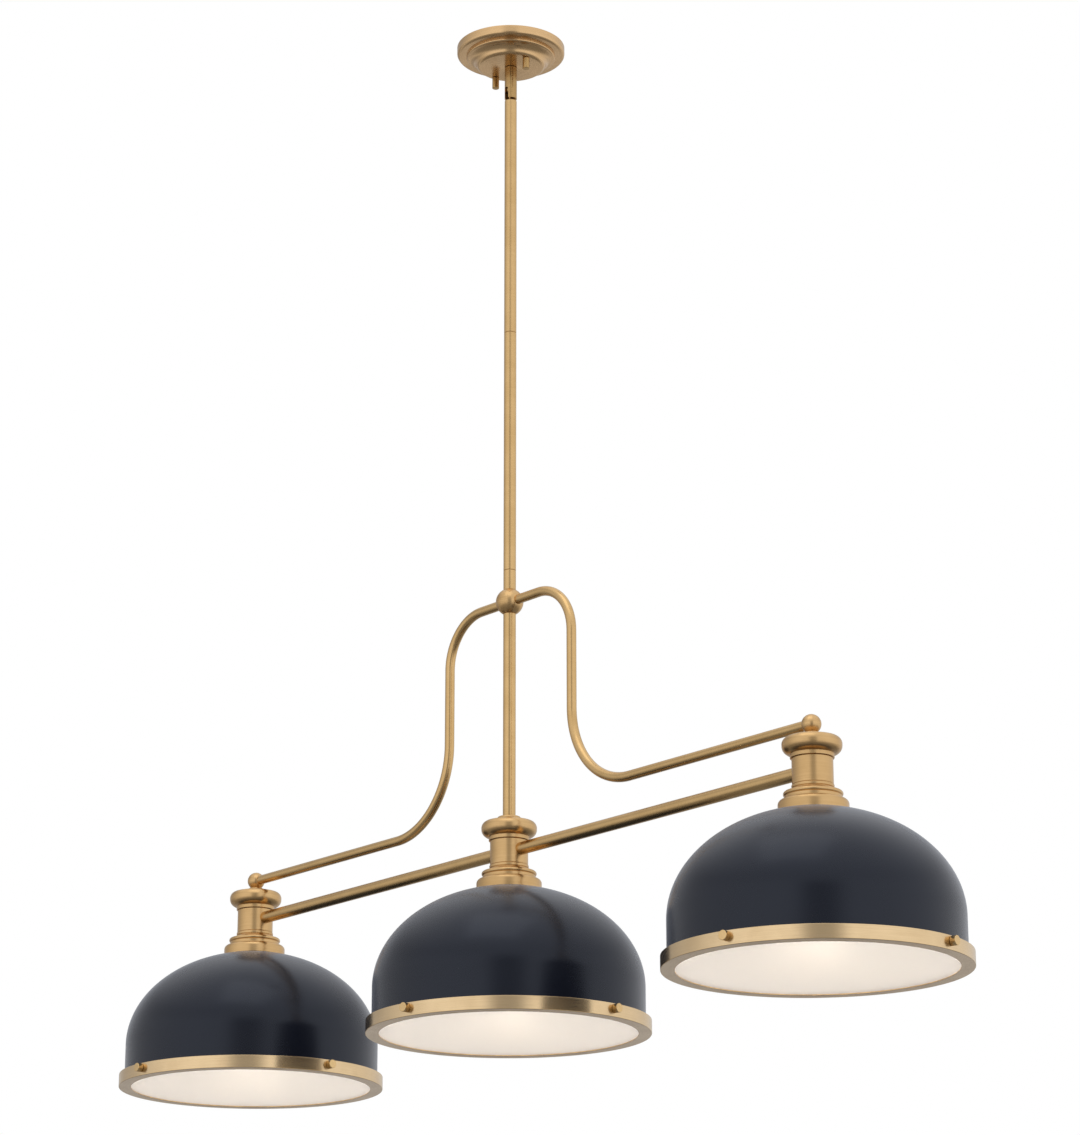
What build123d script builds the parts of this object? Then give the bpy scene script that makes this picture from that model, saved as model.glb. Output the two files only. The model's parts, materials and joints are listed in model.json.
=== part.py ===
from build123d import *
from math import acos, asin, cos, degrees, radians, sin
import os

# Billiard light: three spun shades on a bar, hung from a ceiling canopy by one stem.
# Millimetres, +Z up, +X along the bars. The origin is the centre of the ceiling face.

# Layout
DROP = 1242.0           # ceiling face to the lower faces of the bands
SHADE_PITCH = 508.0     # between neighbouring shades
UPPER_LENGTH = 311.8    # upper stem section; the lower one takes what is left
SHORT_LENGTH = 24.5     # short section on the ball hub
ROD_LENGTH = 259.5      # from the ball hub to the seat in the centre hub's cap

# Fits, radial unless it says otherwise
THREAD_GAP = 0.05       # threaded and pressed fits
RUN_GAP = 0.06          # pins that turn
FACE_GAP = 0.3          # between faces that move past each other
SCREW_TIP_GAP = 0.35    # thumb screw backed off the shade

# Ceiling plate, studs and knobs
PLATE_R = 54.0
PLATE_T = 2.0
BOX_SCREW_PITCH = 88.9
BOX_SLOT_LENGTH = 13.0
BOX_SLOT_R = 2.4
KNOB_PITCH = 69.85
KNOB_TURN = -6.3        # the knobs' line, turned from the X axis
KNOB_R = 4.3
KNOB_LENGTH = 14.4
KNOB_BORE_DEPTH = 11.0
STUD_R = 2.4
STUD_TOP = -0.6

# Canopy, spun from sheet
CANOPY_R = 67.3
CANOPY_SHEET = 1.2
CANOPY_RIM_DROP = 12.0
CANOPY_RIM_ROUND = 4.0
CANOPY_STEP_R = 55.4
CANOPY_STEP_DROP = 15.6
CANOPY_STEP_ROUND = 2.2
CANOPY_COVE_R = 10.6
CANOPY_FACE_ROUND = 5.0
CANOPY_DEPTH = 27.0

# Swivel under the canopy
BOLT_R = 4.0
BOLT_BORE_R = 2.6
BOLT_TOP = -0.6
BOLT_HEAD_R = 5.2
BOLT_HEAD_T = 3.0
NUT_FLATS_R = 7.0
NUT_T = 4.5
SWIVEL_R = 7.6
COLLAR_LENGTH = 7.8
COLLAR_SPIGOT = 5.4
SLEEVE_LENGTH = 34.9
BALL_STUD_R = 5.5
BALL_STUD_NECK_R = 3.0
BALL_STUD_BORE_R = 1.8
BALL_STUD_PLUG = 15.0
SEAT_BORE_R = 4.2
SEAT_T = 9.0            # seat's edge above the sleeve's lower end
SEAT_GAP = 0.29828      # ball to the seat's cone
SLOT_W = 6.5
SLOT_OVER = 1.8         # slot's top above the ball's centre

# Stem, bars and arms: drawn tube
TUBE_R = 7.5
TUBE_BORE_R = 6.2
TUBE_EDGE = 0.4
STEM_TOP_EDGE = 1.6
STEM_TOP_GAP = 1.5      # sleeve to stem
BUSH_LENGTH = 18.0
NIPPLE_R = 5.0
NIPPLE_BORE_R = 3.4
NIPPLE_HALF = 15.0
ARM_R = 5.75
ARM_BORE_R = 4.7
ARM_RUN_X = 113.5       # vertical runs of the arms
ARM_TOP_BEND = 60.0
ARM_LOW_BEND = 100.0
ARM_SOCKET = 6.0

# Ball hub and finials
BALL_R = 16.5
BALL_STEM_FLAT = 14.5
BALL_ARM_FLAT = 15.3
FINIAL_R = 10.8
FINIAL_RISE = 11.7      # finial's centre above the hub's cap
FINIAL_NECK_R = 6.4
FINIAL_BUTTON_R = 9.6
FINIAL_BUTTON_T = 2.6
FINIAL_STUD = 11.0

# Hub castings, from the flange up
FLANGE_RISE = 166.6     # above the bands' lower faces, on the shades' flats
FLANGE_R = 38.0
FLANGE_WALL = 8.6
FLANGE_CROWN = 5.4
HUB_COLLAR_T = 3.6
BEAD_R = 32.0
BEAD_T = 4.8
COVE_T = 4.0
HUB_RING_R = 22.9
HUB_RING_T = 3.5
BODY_LENGTH = 28.9
BODY_R = 22.2
BODY_BORE_R = 17.0
BODY_GROOVE = 0.5
BAR_OVER = 16.8         # bar axis above the body's foot
NECK_R = 23.8
CAP_R = 32.4
CAP_T = 26.2
CAP_DISC_R = 14.0
CAP_DISC_T = 2.9
ROD_SEAT_DEPTH = 9.6
BOLT_HEX_R = 8.5
BOLT_HEX_T = 7.4
SPIGOT = 5.0

# Shades, spun from sheet
SHADE_R = 157.2
SHADE_SHEET = 1.2
SHADE_WALL_TOP = 53.0   # above the bands' lower faces
SHADE_FLAT_DIP = 3.4    # flat below the top of the crown's ellipse

# Lamp holders and bulbs
SOCKET_GAP = 2.0        # below the bolt's collar
SOCKET_LENGTH = 50.0
SOCKET_BORE_DEPTH = 34.0
SOCKET_R = 20.5
SOCKET_NECK_R = 14.0
BULB_BASE_R = 13.0
BULB_TIP_GAP = 2.0
BULB_GLOBE_R = 30.0
BULB_GLOBE_DROP = 40.0  # globe's centre below the holder's mouth

# Bands with their diffusers
BAND_GAP = 5.4          # band's wall to the shade
BAND_WALL = 1.4
BAND_H = 15.4
BAND_LEDGE_IN = 8.6     # ledge's edge inside the shade's radius
BAND_LEDGE_T = 1.3
BAND_EDGE = 0.5
DIFFUSER_GAP = 0.5
DIFFUSER_T = 3.0
RIM_GAP = 0.7           # shade's rim above the diffuser
SCREW_RISE = 9.6
SCREW_R = 2.0
SCREW_HEAD_R = 5.2
SCREW_HEAD_T = 7.0
SCREW_BOSS_R = 4.6
SCREW_BOSS_T = 2.2
SCREW_TURN = {"left": 0.0, "centre": 7.0, "right": 12.0}

# Derived sizes
DIAGONAL = 0.5**0.5
CAP_THREAD_R = BOLT_R + THREAD_GAP
SWIVEL_BORE_R = BALL_STUD_R + FACE_GAP
SHADE_CROWN = FLANGE_RISE + SHADE_FLAT_DIP - SHADE_WALL_TOP
SHADE_RIM = BAND_LEDGE_T + DIFFUSER_T + RIM_GAP
BAND_R = SHADE_R + BAND_GAP + BAND_WALL
BAND_LEDGE_R = SHADE_R - BAND_LEDGE_IN

# Derived heights above the bands' lower faces
BODY_FOOT = FLANGE_RISE + FLANGE_WALL + FLANGE_CROWN + HUB_COLLAR_T + BEAD_T + COVE_T + HUB_RING_T
BODY_HEAD = BODY_FOOT + BODY_LENGTH
BAR_RISE = BODY_FOOT + BAR_OVER
CAP_TOP = BODY_HEAD + CAP_T
ARM_RISE = CAP_TOP + FINIAL_RISE
ROD_SEAT = CAP_TOP - ROD_SEAT_DEPTH
BALL_RISE = ROD_SEAT + ROD_LENGTH + BALL_STEM_FLAT
BOLT_HEAD_RISE = FLANGE_RISE - SHADE_SHEET - BOLT_HEX_T
SOCKET_TOP = BOLT_HEAD_RISE - SOCKET_GAP
SOCKET_MOUTH = SOCKET_TOP - SOCKET_LENGTH
SOCKET_FLOOR = SOCKET_MOUTH + SOCKET_BORE_DEPTH
BULB_TIP = SOCKET_FLOOR - BULB_TIP_GAP
BULB_GLOBE_RISE = SOCKET_MOUTH - BULB_GLOBE_DROP

# Derived places below the ceiling
COLLAR_TOP = CANOPY_DEPTH + FACE_GAP
COLLAR_DROP = COLLAR_TOP + COLLAR_LENGTH
SLEEVE_DROP = COLLAR_DROP + SLEEVE_LENGTH
SEAT_DROP = SLEEVE_DROP - SEAT_T
BALL_STUD_DROP = SEAT_DROP + SEAT_BORE_R - (BALL_STUD_R + SEAT_GAP) / DIAGONAL
SLOT_TOP = SLOT_OVER - BALL_STUD_DROP
BAND_Z = -DROP
BAR_Z = BAND_Z + BAR_RISE
ARM_Z = BAND_Z + ARM_RISE
BALL_Z = BAND_Z + BALL_RISE
ROD_TOP = BALL_Z - BALL_STEM_FLAT
STEM_FOOT = BALL_Z + BALL_STEM_FLAT
LOWER_JOINT = STEM_FOOT + SHORT_LENGTH
STEM_TOP = -SLEEVE_DROP - STEM_TOP_GAP
UPPER_JOINT = STEM_TOP - UPPER_LENGTH
SHADES = {"left": -SHADE_PITCH, "centre": 0.0, "right": SHADE_PITCH}

os.makedirs("parts", exist_ok=True)


def save(name, *solids):
    """Write one node as a STEP file."""
    shape = solids[0] if len(solids) == 1 else Compound(children=list(solids))
    export_step(shape, f"parts/{name}.step")


def outline(start, *steps):
    """Closed profile in radius and height: a step is a point, or an arc's middle and end."""
    edges = []
    here = start
    for step in steps:
        if isinstance(step[0], tuple):
            edges.append(ThreePointArc(here, step[0], step[1]))
            here = step[1]
        else:
            edges.append(Line(here, step))
            here = step
    edges.append(Line(here, start))
    return make_face(edges)


def on_circle(centre, radius, angle):
    """Point of a circle in a profile, by its angle in degrees from the outward direction."""
    return (centre[0] + radius * cos(radians(angle)), centre[1] + radius * sin(radians(angle)))


def turned(start, *steps):
    """Solid of revolution about Z from a profile."""
    return revolve(Plane.XZ * outline(start, *steps), Axis.Z).solid()


def ring(outer, inner, low, high):
    """Plain tube about Z."""
    return turned((inner, low), (outer, low), (outer, high), (inner, high))


def rod_x(radius, start, end, height):
    """Round bar along X."""
    bar = Cylinder(radius, end - start, align=(Align.CENTER, Align.CENTER, Align.MIN))
    return Pos(start, 0, height) * Rot(0, 90, 0) * bar


def hexagon(flats_r, low, high):
    """Hexagonal bar about Z."""
    return Pos(0, 0, low) * extrude(RegularPolygon(flats_r, 6, major_radius=False), high - low)


def at_shade(shape, side):
    """Move a piece made on the origin's axis to a shade's axis and the bands' height."""
    return Pos(SHADES[side], 0, BAND_Z) * shape


def stem_tube(low, high, high_edge):
    """Long stem section with bushed ends that take the threaded nipples."""
    bore = NIPPLE_R + THREAD_GAP
    return turned(
        (bore, low),
        (TUBE_R - TUBE_EDGE, low),
        (TUBE_R, low + TUBE_EDGE),
        (TUBE_R, high - high_edge),
        (TUBE_R - high_edge, high),
        (bore, high),
        (bore, high - BUSH_LENGTH),
        (TUBE_BORE_R, high - BUSH_LENGTH),
        (TUBE_BORE_R, low + BUSH_LENGTH),
        (bore, low + BUSH_LENGTH),
    )


def stem_short():
    """Short stem section, threaded all the way, between the lower joint and the ball."""
    bore = NIPPLE_R + THREAD_GAP
    return turned(
        (bore, STEM_FOOT),
        (TUBE_R, STEM_FOOT),
        (TUBE_R, LOWER_JOINT - TUBE_EDGE),
        (TUBE_R - TUBE_EDGE, LOWER_JOINT),
        (bore, LOWER_JOINT),
    )


def centre_rod():
    """Rod from the ball to the centre hub cap, bushed at its upper end."""
    bore = NIPPLE_R + THREAD_GAP
    low = BAND_Z + ROD_SEAT
    return turned(
        (TUBE_BORE_R, low),
        (TUBE_R, low),
        (TUBE_R, ROD_TOP),
        (bore, ROD_TOP),
        (bore, ROD_TOP - BUSH_LENGTH),
        (TUBE_BORE_R, ROD_TOP - BUSH_LENGTH),
    )


def mounting_plate():
    """Round plate that screws to the ceiling box, with two slots along Y."""
    plate = ring(PLATE_R, CAP_THREAD_R, -PLATE_T, 0)
    for side in (-1, 1):
        slot = extrude(SlotOverall(BOX_SLOT_LENGTH, 2 * BOX_SLOT_R, rotation=90), -PLATE_T)
        plate -= Pos(0, side * BOX_SCREW_PITCH / 2, 0) * slot
        plate -= knob_place(side) * Cylinder(STUD_R + THREAD_GAP, 3 * PLATE_T)
    return plate.solid()


def knob_place(side):
    """Place of a canopy knob's axis on the ceiling face."""
    return Rot(0, 0, KNOB_TURN) * Pos(side * KNOB_PITCH / 2, 0, 0)


def plate_stud(side):
    """Threaded stud from the plate to a knob."""
    foot = -CANOPY_DEPTH - KNOB_BORE_DEPTH + 2
    return knob_place(side) * turned((0, foot), (STUD_R, foot), (STUD_R, STUD_TOP), (0, STUD_TOP))


def canopy_knob(side):
    """Plain round knob with a blind thread."""
    top = -CANOPY_DEPTH - FACE_GAP
    foot = top - KNOB_LENGTH
    bore = STUD_R + RUN_GAP
    knob = turned(
        (0, foot),
        (KNOB_R - TUBE_EDGE, foot),
        (KNOB_R, foot + TUBE_EDGE),
        (KNOB_R, top),
        (bore, top),
        (bore, top - KNOB_BORE_DEPTH),
        (0, top - KNOB_BORE_DEPTH),
    )
    return knob_place(side) * knob


def canopy():
    """Stepped cup of even sheet: rim, ledge, rounded step, cove and flat face."""
    t = CANOPY_SHEET
    low = -CANOPY_RIM_DROP
    bore = BOLT_R + FACE_GAP
    reach = CANOPY_COVE_R + CANOPY_FACE_ROUND
    sweep = degrees(acos(1 - (CANOPY_DEPTH - CANOPY_STEP_DROP) / reach))
    rim = (CANOPY_R - CANOPY_RIM_ROUND, low + CANOPY_RIM_ROUND)
    step = (CANOPY_STEP_R - CANOPY_STEP_ROUND, CANOPY_STEP_ROUND - CANOPY_STEP_DROP)
    cove = (step[0], -CANOPY_STEP_DROP - CANOPY_COVE_R)
    face = on_circle(cove, reach, 90 + sweep)
    cove_end = on_circle(cove, CANOPY_COVE_R, 90 + sweep)
    face_end = on_circle(face, CANOPY_FACE_ROUND - t, sweep - 90)
    cup = turned(
        (CANOPY_R, 0),
        (CANOPY_R, rim[1]),
        (on_circle(rim, CANOPY_RIM_ROUND, -45), (rim[0], low)),
        (CANOPY_STEP_R, low),
        (CANOPY_STEP_R, step[1]),
        (on_circle(step, CANOPY_STEP_ROUND, -45), (step[0], -CANOPY_STEP_DROP)),
        (on_circle(cove, CANOPY_COVE_R, 90 + sweep / 2), cove_end),
        (on_circle(face, CANOPY_FACE_ROUND, sweep / 2 - 90), (face[0], -CANOPY_DEPTH)),
        (bore, -CANOPY_DEPTH),
        (bore, t - CANOPY_DEPTH),
        (face[0], t - CANOPY_DEPTH),
        (on_circle(face, CANOPY_FACE_ROUND - t, sweep / 2 - 90), face_end),
        (on_circle(cove, CANOPY_COVE_R + t, 90 + sweep / 2), (step[0], t - CANOPY_STEP_DROP)),
        (on_circle(step, CANOPY_STEP_ROUND - t, -45), (CANOPY_STEP_R - t, step[1])),
        (CANOPY_STEP_R - t, low + t),
        (rim[0], low + t),
        (on_circle(rim, CANOPY_RIM_ROUND - t, -45), (CANOPY_R - t, rim[1])),
        (CANOPY_R - t, 0),
    )
    for side in (-1, 1):
        cup -= knob_place(side) * Cylinder(STUD_R + FACE_GAP, 3 * CANOPY_DEPTH)
    return cup.solid()


def swivel_bolt():
    """Hollow bolt that hangs the swivel from the plate."""
    shoulder = -COLLAR_DROP - COLLAR_SPIGOT - FACE_GAP
    return turned(
        (BOLT_BORE_R, shoulder - BOLT_HEAD_T),
        (BOLT_HEAD_R, shoulder - BOLT_HEAD_T),
        (BOLT_HEAD_R, shoulder),
        (BOLT_R, shoulder),
        (BOLT_R, BOLT_TOP),
        (BOLT_BORE_R, BOLT_TOP),
    )


def swivel_nut():
    """Locknut of the swivel bolt, under the plate."""
    nut = hexagon(NUT_FLATS_R, -PLATE_T - NUT_T, -PLATE_T)
    return (nut - Cylinder(CAP_THREAD_R, 4 * NUT_T)).solid()


def swivel_collar():
    """Screw cap that closes the sleeve and turns on the bolt."""
    bore = BOLT_R + RUN_GAP
    top = -COLLAR_TOP
    spigot_r = SWIVEL_BORE_R - THREAD_GAP
    return turned(
        (bore, top),
        (SWIVEL_R, top),
        (SWIVEL_R, TUBE_EDGE / 2 - COLLAR_DROP),
        (SWIVEL_R - TUBE_EDGE / 2, -COLLAR_DROP),
        (spigot_r, -COLLAR_DROP),
        (spigot_r, -COLLAR_DROP - COLLAR_SPIGOT),
        (bore, -COLLAR_DROP - COLLAR_SPIGOT),
    )


def swivel_sleeve():
    """Sleeve with a seat for the ball and a slot that the stem's neck tilts into."""
    sleeve = turned(
        (SWIVEL_BORE_R, -COLLAR_DROP),
        (SWIVEL_R - TUBE_EDGE / 2, -COLLAR_DROP),
        (SWIVEL_R, -COLLAR_DROP - TUBE_EDGE / 2),
        (SWIVEL_R, TUBE_EDGE - SLEEVE_DROP),
        (SWIVEL_R - TUBE_EDGE, -SLEEVE_DROP),
        (SEAT_BORE_R, -SLEEVE_DROP),
        (SEAT_BORE_R, -SEAT_DROP),
        (SWIVEL_BORE_R, SWIVEL_BORE_R - SEAT_BORE_R - SEAT_DROP),
    )
    arch = SLOT_TOP - SLOT_W / 2
    slot = Box(SLOT_W, 2 * SWIVEL_R, arch + SLEEVE_DROP + 1, align=(Align.CENTER, Align.MAX, Align.MAX))
    slot += Rot(90, 0, 0) * Cylinder(SLOT_W / 2, 2 * SWIVEL_R, align=(Align.CENTER, Align.CENTER, Align.MIN))
    return (sleeve - Pos(0, 0, arch) * slot).solid()


def swivel_stud():
    """Ball stud that carries the stem: ball, neck and threaded plug."""
    plug = turned(
        (0, STEM_TOP - BALL_STUD_PLUG),
        (NIPPLE_R, STEM_TOP - BALL_STUD_PLUG),
        (NIPPLE_R, STEM_TOP),
        (BALL_STUD_NECK_R, STEM_TOP),
        (BALL_STUD_NECK_R, -BALL_STUD_DROP),
        (0, -BALL_STUD_DROP),
    )
    centre = Pos(0, 0, -BALL_STUD_DROP)
    bore = Cylinder(BALL_STUD_BORE_R, 4 * (BALL_STUD_PLUG + SEAT_T))
    return (plug + centre * Sphere(BALL_STUD_R) - centre * bore).solid()


def nipple(low, high):
    """Hollow threaded nipple."""
    return ring(NIPPLE_R, NIPPLE_BORE_R, low, high)


def ball_hub():
    """Ball with flats and bores where the stem, rod and arms enter."""
    core = Sphere(BALL_R)
    core &= Box(2 * BALL_ARM_FLAT, 2 * BALL_R, 2 * BALL_STEM_FLAT)
    core -= Cylinder(NIPPLE_R + THREAD_GAP, 4 * BALL_R)
    for side in (-1, 1):
        ends = sorted((side * (BALL_ARM_FLAT - ARM_SOCKET), side * 2 * BALL_R))
        core -= rod_x(ARM_R + THREAD_GAP, *ends, 0)
    return (Pos(0, 0, BALL_Z) * core).solid()


def arm(side):
    """Tube from the ball hub: out, down and out again to the finial."""
    start = BALL_ARM_FLAT - ARM_SOCKET
    end = SHADE_PITCH - FINIAL_R + ARM_SOCKET
    top = ARM_RUN_X - ARM_TOP_BEND
    foot = ARM_RUN_X + ARM_LOW_BEND
    level = Line((start, 0, BALL_Z), (top, 0, BALL_Z))
    bend = TangentArc((top, 0, BALL_Z), (ARM_RUN_X, 0, BALL_Z - ARM_TOP_BEND), tangent=(1, 0, 0))
    fall = Line((ARM_RUN_X, 0, BALL_Z - ARM_TOP_BEND), (ARM_RUN_X, 0, ARM_Z + ARM_LOW_BEND))
    sweep_out = TangentArc((ARM_RUN_X, 0, ARM_Z + ARM_LOW_BEND), (foot, 0, ARM_Z), tangent=(0, 0, -1))
    run = Line((foot, 0, ARM_Z), (end, 0, ARM_Z))
    section = Plane((start, 0, BALL_Z), z_dir=(1, 0, 0)) * (Circle(ARM_R) - Circle(ARM_BORE_R))
    tube = sweep(section, path=Wire([level, bend, fall, sweep_out, run])).solid()
    return tube if side > 0 else tube.mirror(Plane.YZ)


def finial(side):
    """Ball that ends an arm, on a button and a stud that screws into the hub cap."""
    low = CAP_TOP
    button = low + FINIAL_BUTTON_T
    joint = ARM_RISE - (FINIAL_R**2 - FINIAL_NECK_R**2) ** 0.5
    post = turned(
        (0, low - FINIAL_STUD),
        (BOLT_R, low - FINIAL_STUD),
        (BOLT_R, low),
        (FINIAL_BUTTON_R, low),
        ((FINIAL_BUTTON_R - 0.6, button - 0.7), (FINIAL_NECK_R + 0.6, button)),
        (FINIAL_NECK_R, joint + 1),
        (0, joint + 1),
    )
    piece = post + Pos(0, 0, ARM_RISE) * Sphere(FINIAL_R)
    ends = sorted((-side * (FINIAL_R - ARM_SOCKET), -side * 2 * FINIAL_R))
    piece -= rod_x(ARM_R + THREAD_GAP, *ends, ARM_RISE)
    return at_shade(piece.solid(), "right" if side > 0 else "left")


def bar(side):
    """Tube between the centre hub and an outer hub."""
    start = BODY_BORE_R + 0.5
    tube = rod_x(TUBE_R, start, SHADE_PITCH - start, BAR_Z)
    tube -= rod_x(TUBE_BORE_R, 0, SHADE_PITCH, BAR_Z)
    return tube.solid() if side > 0 else tube.solid().mirror(Plane.YZ)


def hub_cap(centre):
    """Mushroom cap with a neck ring below; the centre one takes the rod."""
    bore = CAP_THREAD_R
    spigot_r = BODY_BORE_R - THREAD_GAP
    shoulder = (28.0, CAP_TOP - 3.6)
    steps = [
        (spigot_r, BODY_HEAD - SPIGOT),
        (spigot_r, BODY_HEAD),
        (NECK_R - BODY_GROOVE, BODY_HEAD),
        (NECK_R, BODY_HEAD + BODY_GROOVE),
        (NECK_R, BODY_HEAD + 4.6),
        (NECK_R + 1.4, BODY_HEAD + 4.9),
        ((CAP_R - 1.9, BODY_HEAD + 8.2), (CAP_R, BODY_HEAD + 14.4)),
        ((CAP_R - 1.1, CAP_TOP - 6.6), shoulder),
    ]
    if centre:
        seat = TUBE_R + THREAD_GAP
        steps += [
            (CAP_DISC_R, CAP_TOP),
            ((CAP_DISC_R - 0.3, CAP_TOP + 1.8), (CAP_DISC_R - 2.2, CAP_TOP + CAP_DISC_T)),
            (seat, CAP_TOP + CAP_DISC_T),
            (seat, ROD_SEAT),
            (bore, ROD_SEAT),
        ]
    else:
        steps += [(CAP_DISC_R, CAP_TOP), (bore, CAP_TOP)]
    steps += [
        (bore, BODY_HEAD),
        (BOLT_R + 4.5, BODY_HEAD),
        (BOLT_R + 4.5, ROD_SEAT - 4),
        (BODY_BORE_R - 3, ROD_SEAT - 4),
    ]
    return turned((BODY_BORE_R - 3, BODY_HEAD - SPIGOT), *steps)


def hub_body(sides):
    """Cylinder that the bars enter."""
    edge = BODY_GROOVE
    body = turned(
        (BODY_BORE_R, BODY_FOOT),
        (BODY_R - edge, BODY_FOOT),
        (BODY_R, BODY_FOOT + edge),
        (BODY_R, BODY_HEAD - edge),
        (BODY_R - edge, BODY_HEAD),
        (BODY_BORE_R, BODY_HEAD),
    )
    for side in sides:
        ends = sorted((side * BODY_BORE_R / 2, side * 2 * BODY_R))
        body -= rod_x(TUBE_R + THREAD_GAP, *ends, BAR_RISE)
    return body.solid()


def hub_base():
    """Foot on the shade: flange, ring, bead and cove up to the body."""
    spigot_r = BODY_BORE_R - THREAD_GAP
    foot = FLANGE_RISE
    bore = BOLT_R + FACE_GAP
    wall = foot + FLANGE_WALL
    crown = wall + FLANGE_CROWN
    collar = crown + HUB_COLLAR_T
    bead = collar + BEAD_T
    cove = bead + COVE_T
    return turned(
        (FLANGE_R - 4, foot),
        (FLANGE_R, foot),
        (FLANGE_R, wall),
        ((FLANGE_R - 1.2, wall + 3.0), (FLANGE_R - 4.2, crown - 0.6)),
        (BEAD_R - 1.4, crown),
        (BEAD_R - 1.4, collar),
        ((BEAD_R, collar + 2.6), (BEAD_R - 1.4, bead)),
        ((BEAD_R - 7.6, bead + 1.6), (HUB_RING_R - 0.6, cove)),
        (HUB_RING_R, cove + 0.4),
        (HUB_RING_R, BODY_FOOT - BODY_GROOVE),
        (HUB_RING_R - BODY_GROOVE, BODY_FOOT),
        (spigot_r, BODY_FOOT),
        (spigot_r, BODY_FOOT + SPIGOT),
        (bore, BODY_FOOT + SPIGOT),
        (bore, foot),
        (bore + 6, foot),
        (bore + 6, collar + 2.4),
        (HUB_RING_R - 3, collar + 2.4),
        (FLANGE_R - 11, wall + 3.4),
        (FLANGE_R - 4, wall),
    )


def hub_bolt(centre):
    """Hollow through-bolt with a hexagonal collar that clamps the shade under its hub."""
    top = ROD_SEAT - 1 if centre else CAP_TOP - FINIAL_STUD - 1
    collar_top = FLANGE_RISE - SHADE_SHEET
    bolt = ring(BOLT_R, BOLT_BORE_R, SOCKET_TOP - 8, top)
    collar = hexagon(BOLT_HEX_R, BOLT_HEAD_RISE, collar_top)
    collar -= Pos(0, 0, collar_top) * Cylinder(BOLT_BORE_R, 4 * BOLT_HEX_T)
    return (bolt + collar).solid()


def shade():
    """Spun dome: straight wall, elliptical crown and a flat under the hub."""
    hole = BOLT_R + FACE_GAP
    rise = FLANGE_RISE - SHADE_WALL_TOP
    skins = []
    for inset in (0, SHADE_SHEET):
        sweep_angle = degrees(asin((rise - inset) / (SHADE_CROWN - inset)))
        centre = (0, SHADE_WALL_TOP)
        radii = (SHADE_R - inset, SHADE_CROWN - inset)
        skins.append(EllipticalCenterArc(centre, *radii, start_angle=0, arc_size=sweep_angle))
    outer, inner = skins
    edges = [
        Line((SHADE_R, SHADE_RIM), outer @ 0),
        outer,
        Line(outer @ 1, (hole, FLANGE_RISE)),
        Line((hole, FLANGE_RISE), (hole, FLANGE_RISE - SHADE_SHEET)),
        Line((hole, FLANGE_RISE - SHADE_SHEET), inner @ 1),
        inner,
        Line(inner @ 0, (SHADE_R - SHADE_SHEET, SHADE_RIM)),
        Line((SHADE_R - SHADE_SHEET, SHADE_RIM), (SHADE_R, SHADE_RIM)),
    ]
    return revolve(Plane.XZ * make_face(edges), Axis.Z).solid()


def socket():
    """Lamp holder: threaded neck on the bolt, body and open mouth."""
    bore = CAP_THREAD_R
    return turned(
        (bore, SOCKET_TOP),
        (SOCKET_NECK_R - 1, SOCKET_TOP),
        (SOCKET_NECK_R, SOCKET_TOP - 1),
        (SOCKET_NECK_R, SOCKET_TOP - 7),
        (SOCKET_R - 2, SOCKET_TOP - 12),
        (SOCKET_R - 2, SOCKET_MOUTH + 12),
        (SOCKET_R, SOCKET_MOUTH + 11),
        (SOCKET_R, SOCKET_MOUTH + 1),
        (SOCKET_R - 1, SOCKET_MOUTH),
        (BULB_BASE_R + RUN_GAP, SOCKET_MOUTH),
        (BULB_BASE_R + RUN_GAP, SOCKET_FLOOR),
        (bore, SOCKET_FLOOR),
    )


def bulb():
    """Screw base and globe of the bulb, two solids that meet at the mouth of the holder."""
    waist = SOCKET_MOUTH + 2
    foot = BULB_GLOBE_RISE - BULB_GLOBE_R
    side = BULB_GLOBE_R * DIAGONAL
    base = turned(
        (0, waist),
        (BULB_BASE_R, waist),
        (BULB_BASE_R, BULB_TIP - 7),
        (BULB_BASE_R - 8, BULB_TIP - 2),
        (BULB_BASE_R - 8, BULB_TIP),
        (0, BULB_TIP),
    )
    globe = turned(
        (0, waist),
        (BULB_BASE_R - 0.5, waist),
        (BULB_BASE_R - 0.5, SOCKET_MOUTH - 1),
        ((BULB_GLOBE_R - 6.5, BULB_GLOBE_RISE + 18), (BULB_GLOBE_R, BULB_GLOBE_RISE)),
        ((side, BULB_GLOBE_RISE - side), (0, foot)),
    )
    return base, globe


def screw_place(side, index):
    """Place of a thumb screw's axis: its own Z points outwards."""
    turn = Rot(0, 0, SCREW_TURN[side] + 90 * index)
    return Pos(0, 0, SCREW_RISE) * turn * Rot(0, 90, 0)


def band(side):
    """Ring with a ledge for the diffuser and four threaded bosses."""
    inside = BAND_R - BAND_WALL
    piece = turned(
        (BAND_LEDGE_R, 0),
        (BAND_R - BAND_EDGE, 0),
        (BAND_R, BAND_EDGE),
        (BAND_R, BAND_H - BAND_EDGE),
        (BAND_R - BAND_EDGE, BAND_H),
        (inside, BAND_H),
        (inside, BAND_LEDGE_T),
        (BAND_LEDGE_R, BAND_LEDGE_T),
    )
    for index in range(4):
        low = inside - SCREW_BOSS_T
        boss = ring(SCREW_BOSS_R, SCREW_R + RUN_GAP, low, inside + BAND_WALL / 2)
        piece += screw_place(side, index) * boss
        hole = Cylinder(SCREW_R + RUN_GAP, 4 * BAND_GAP)
        piece -= screw_place(side, index) * Pos(0, 0, BAND_R) * hole
    return at_shade(piece.solid(), side)


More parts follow.
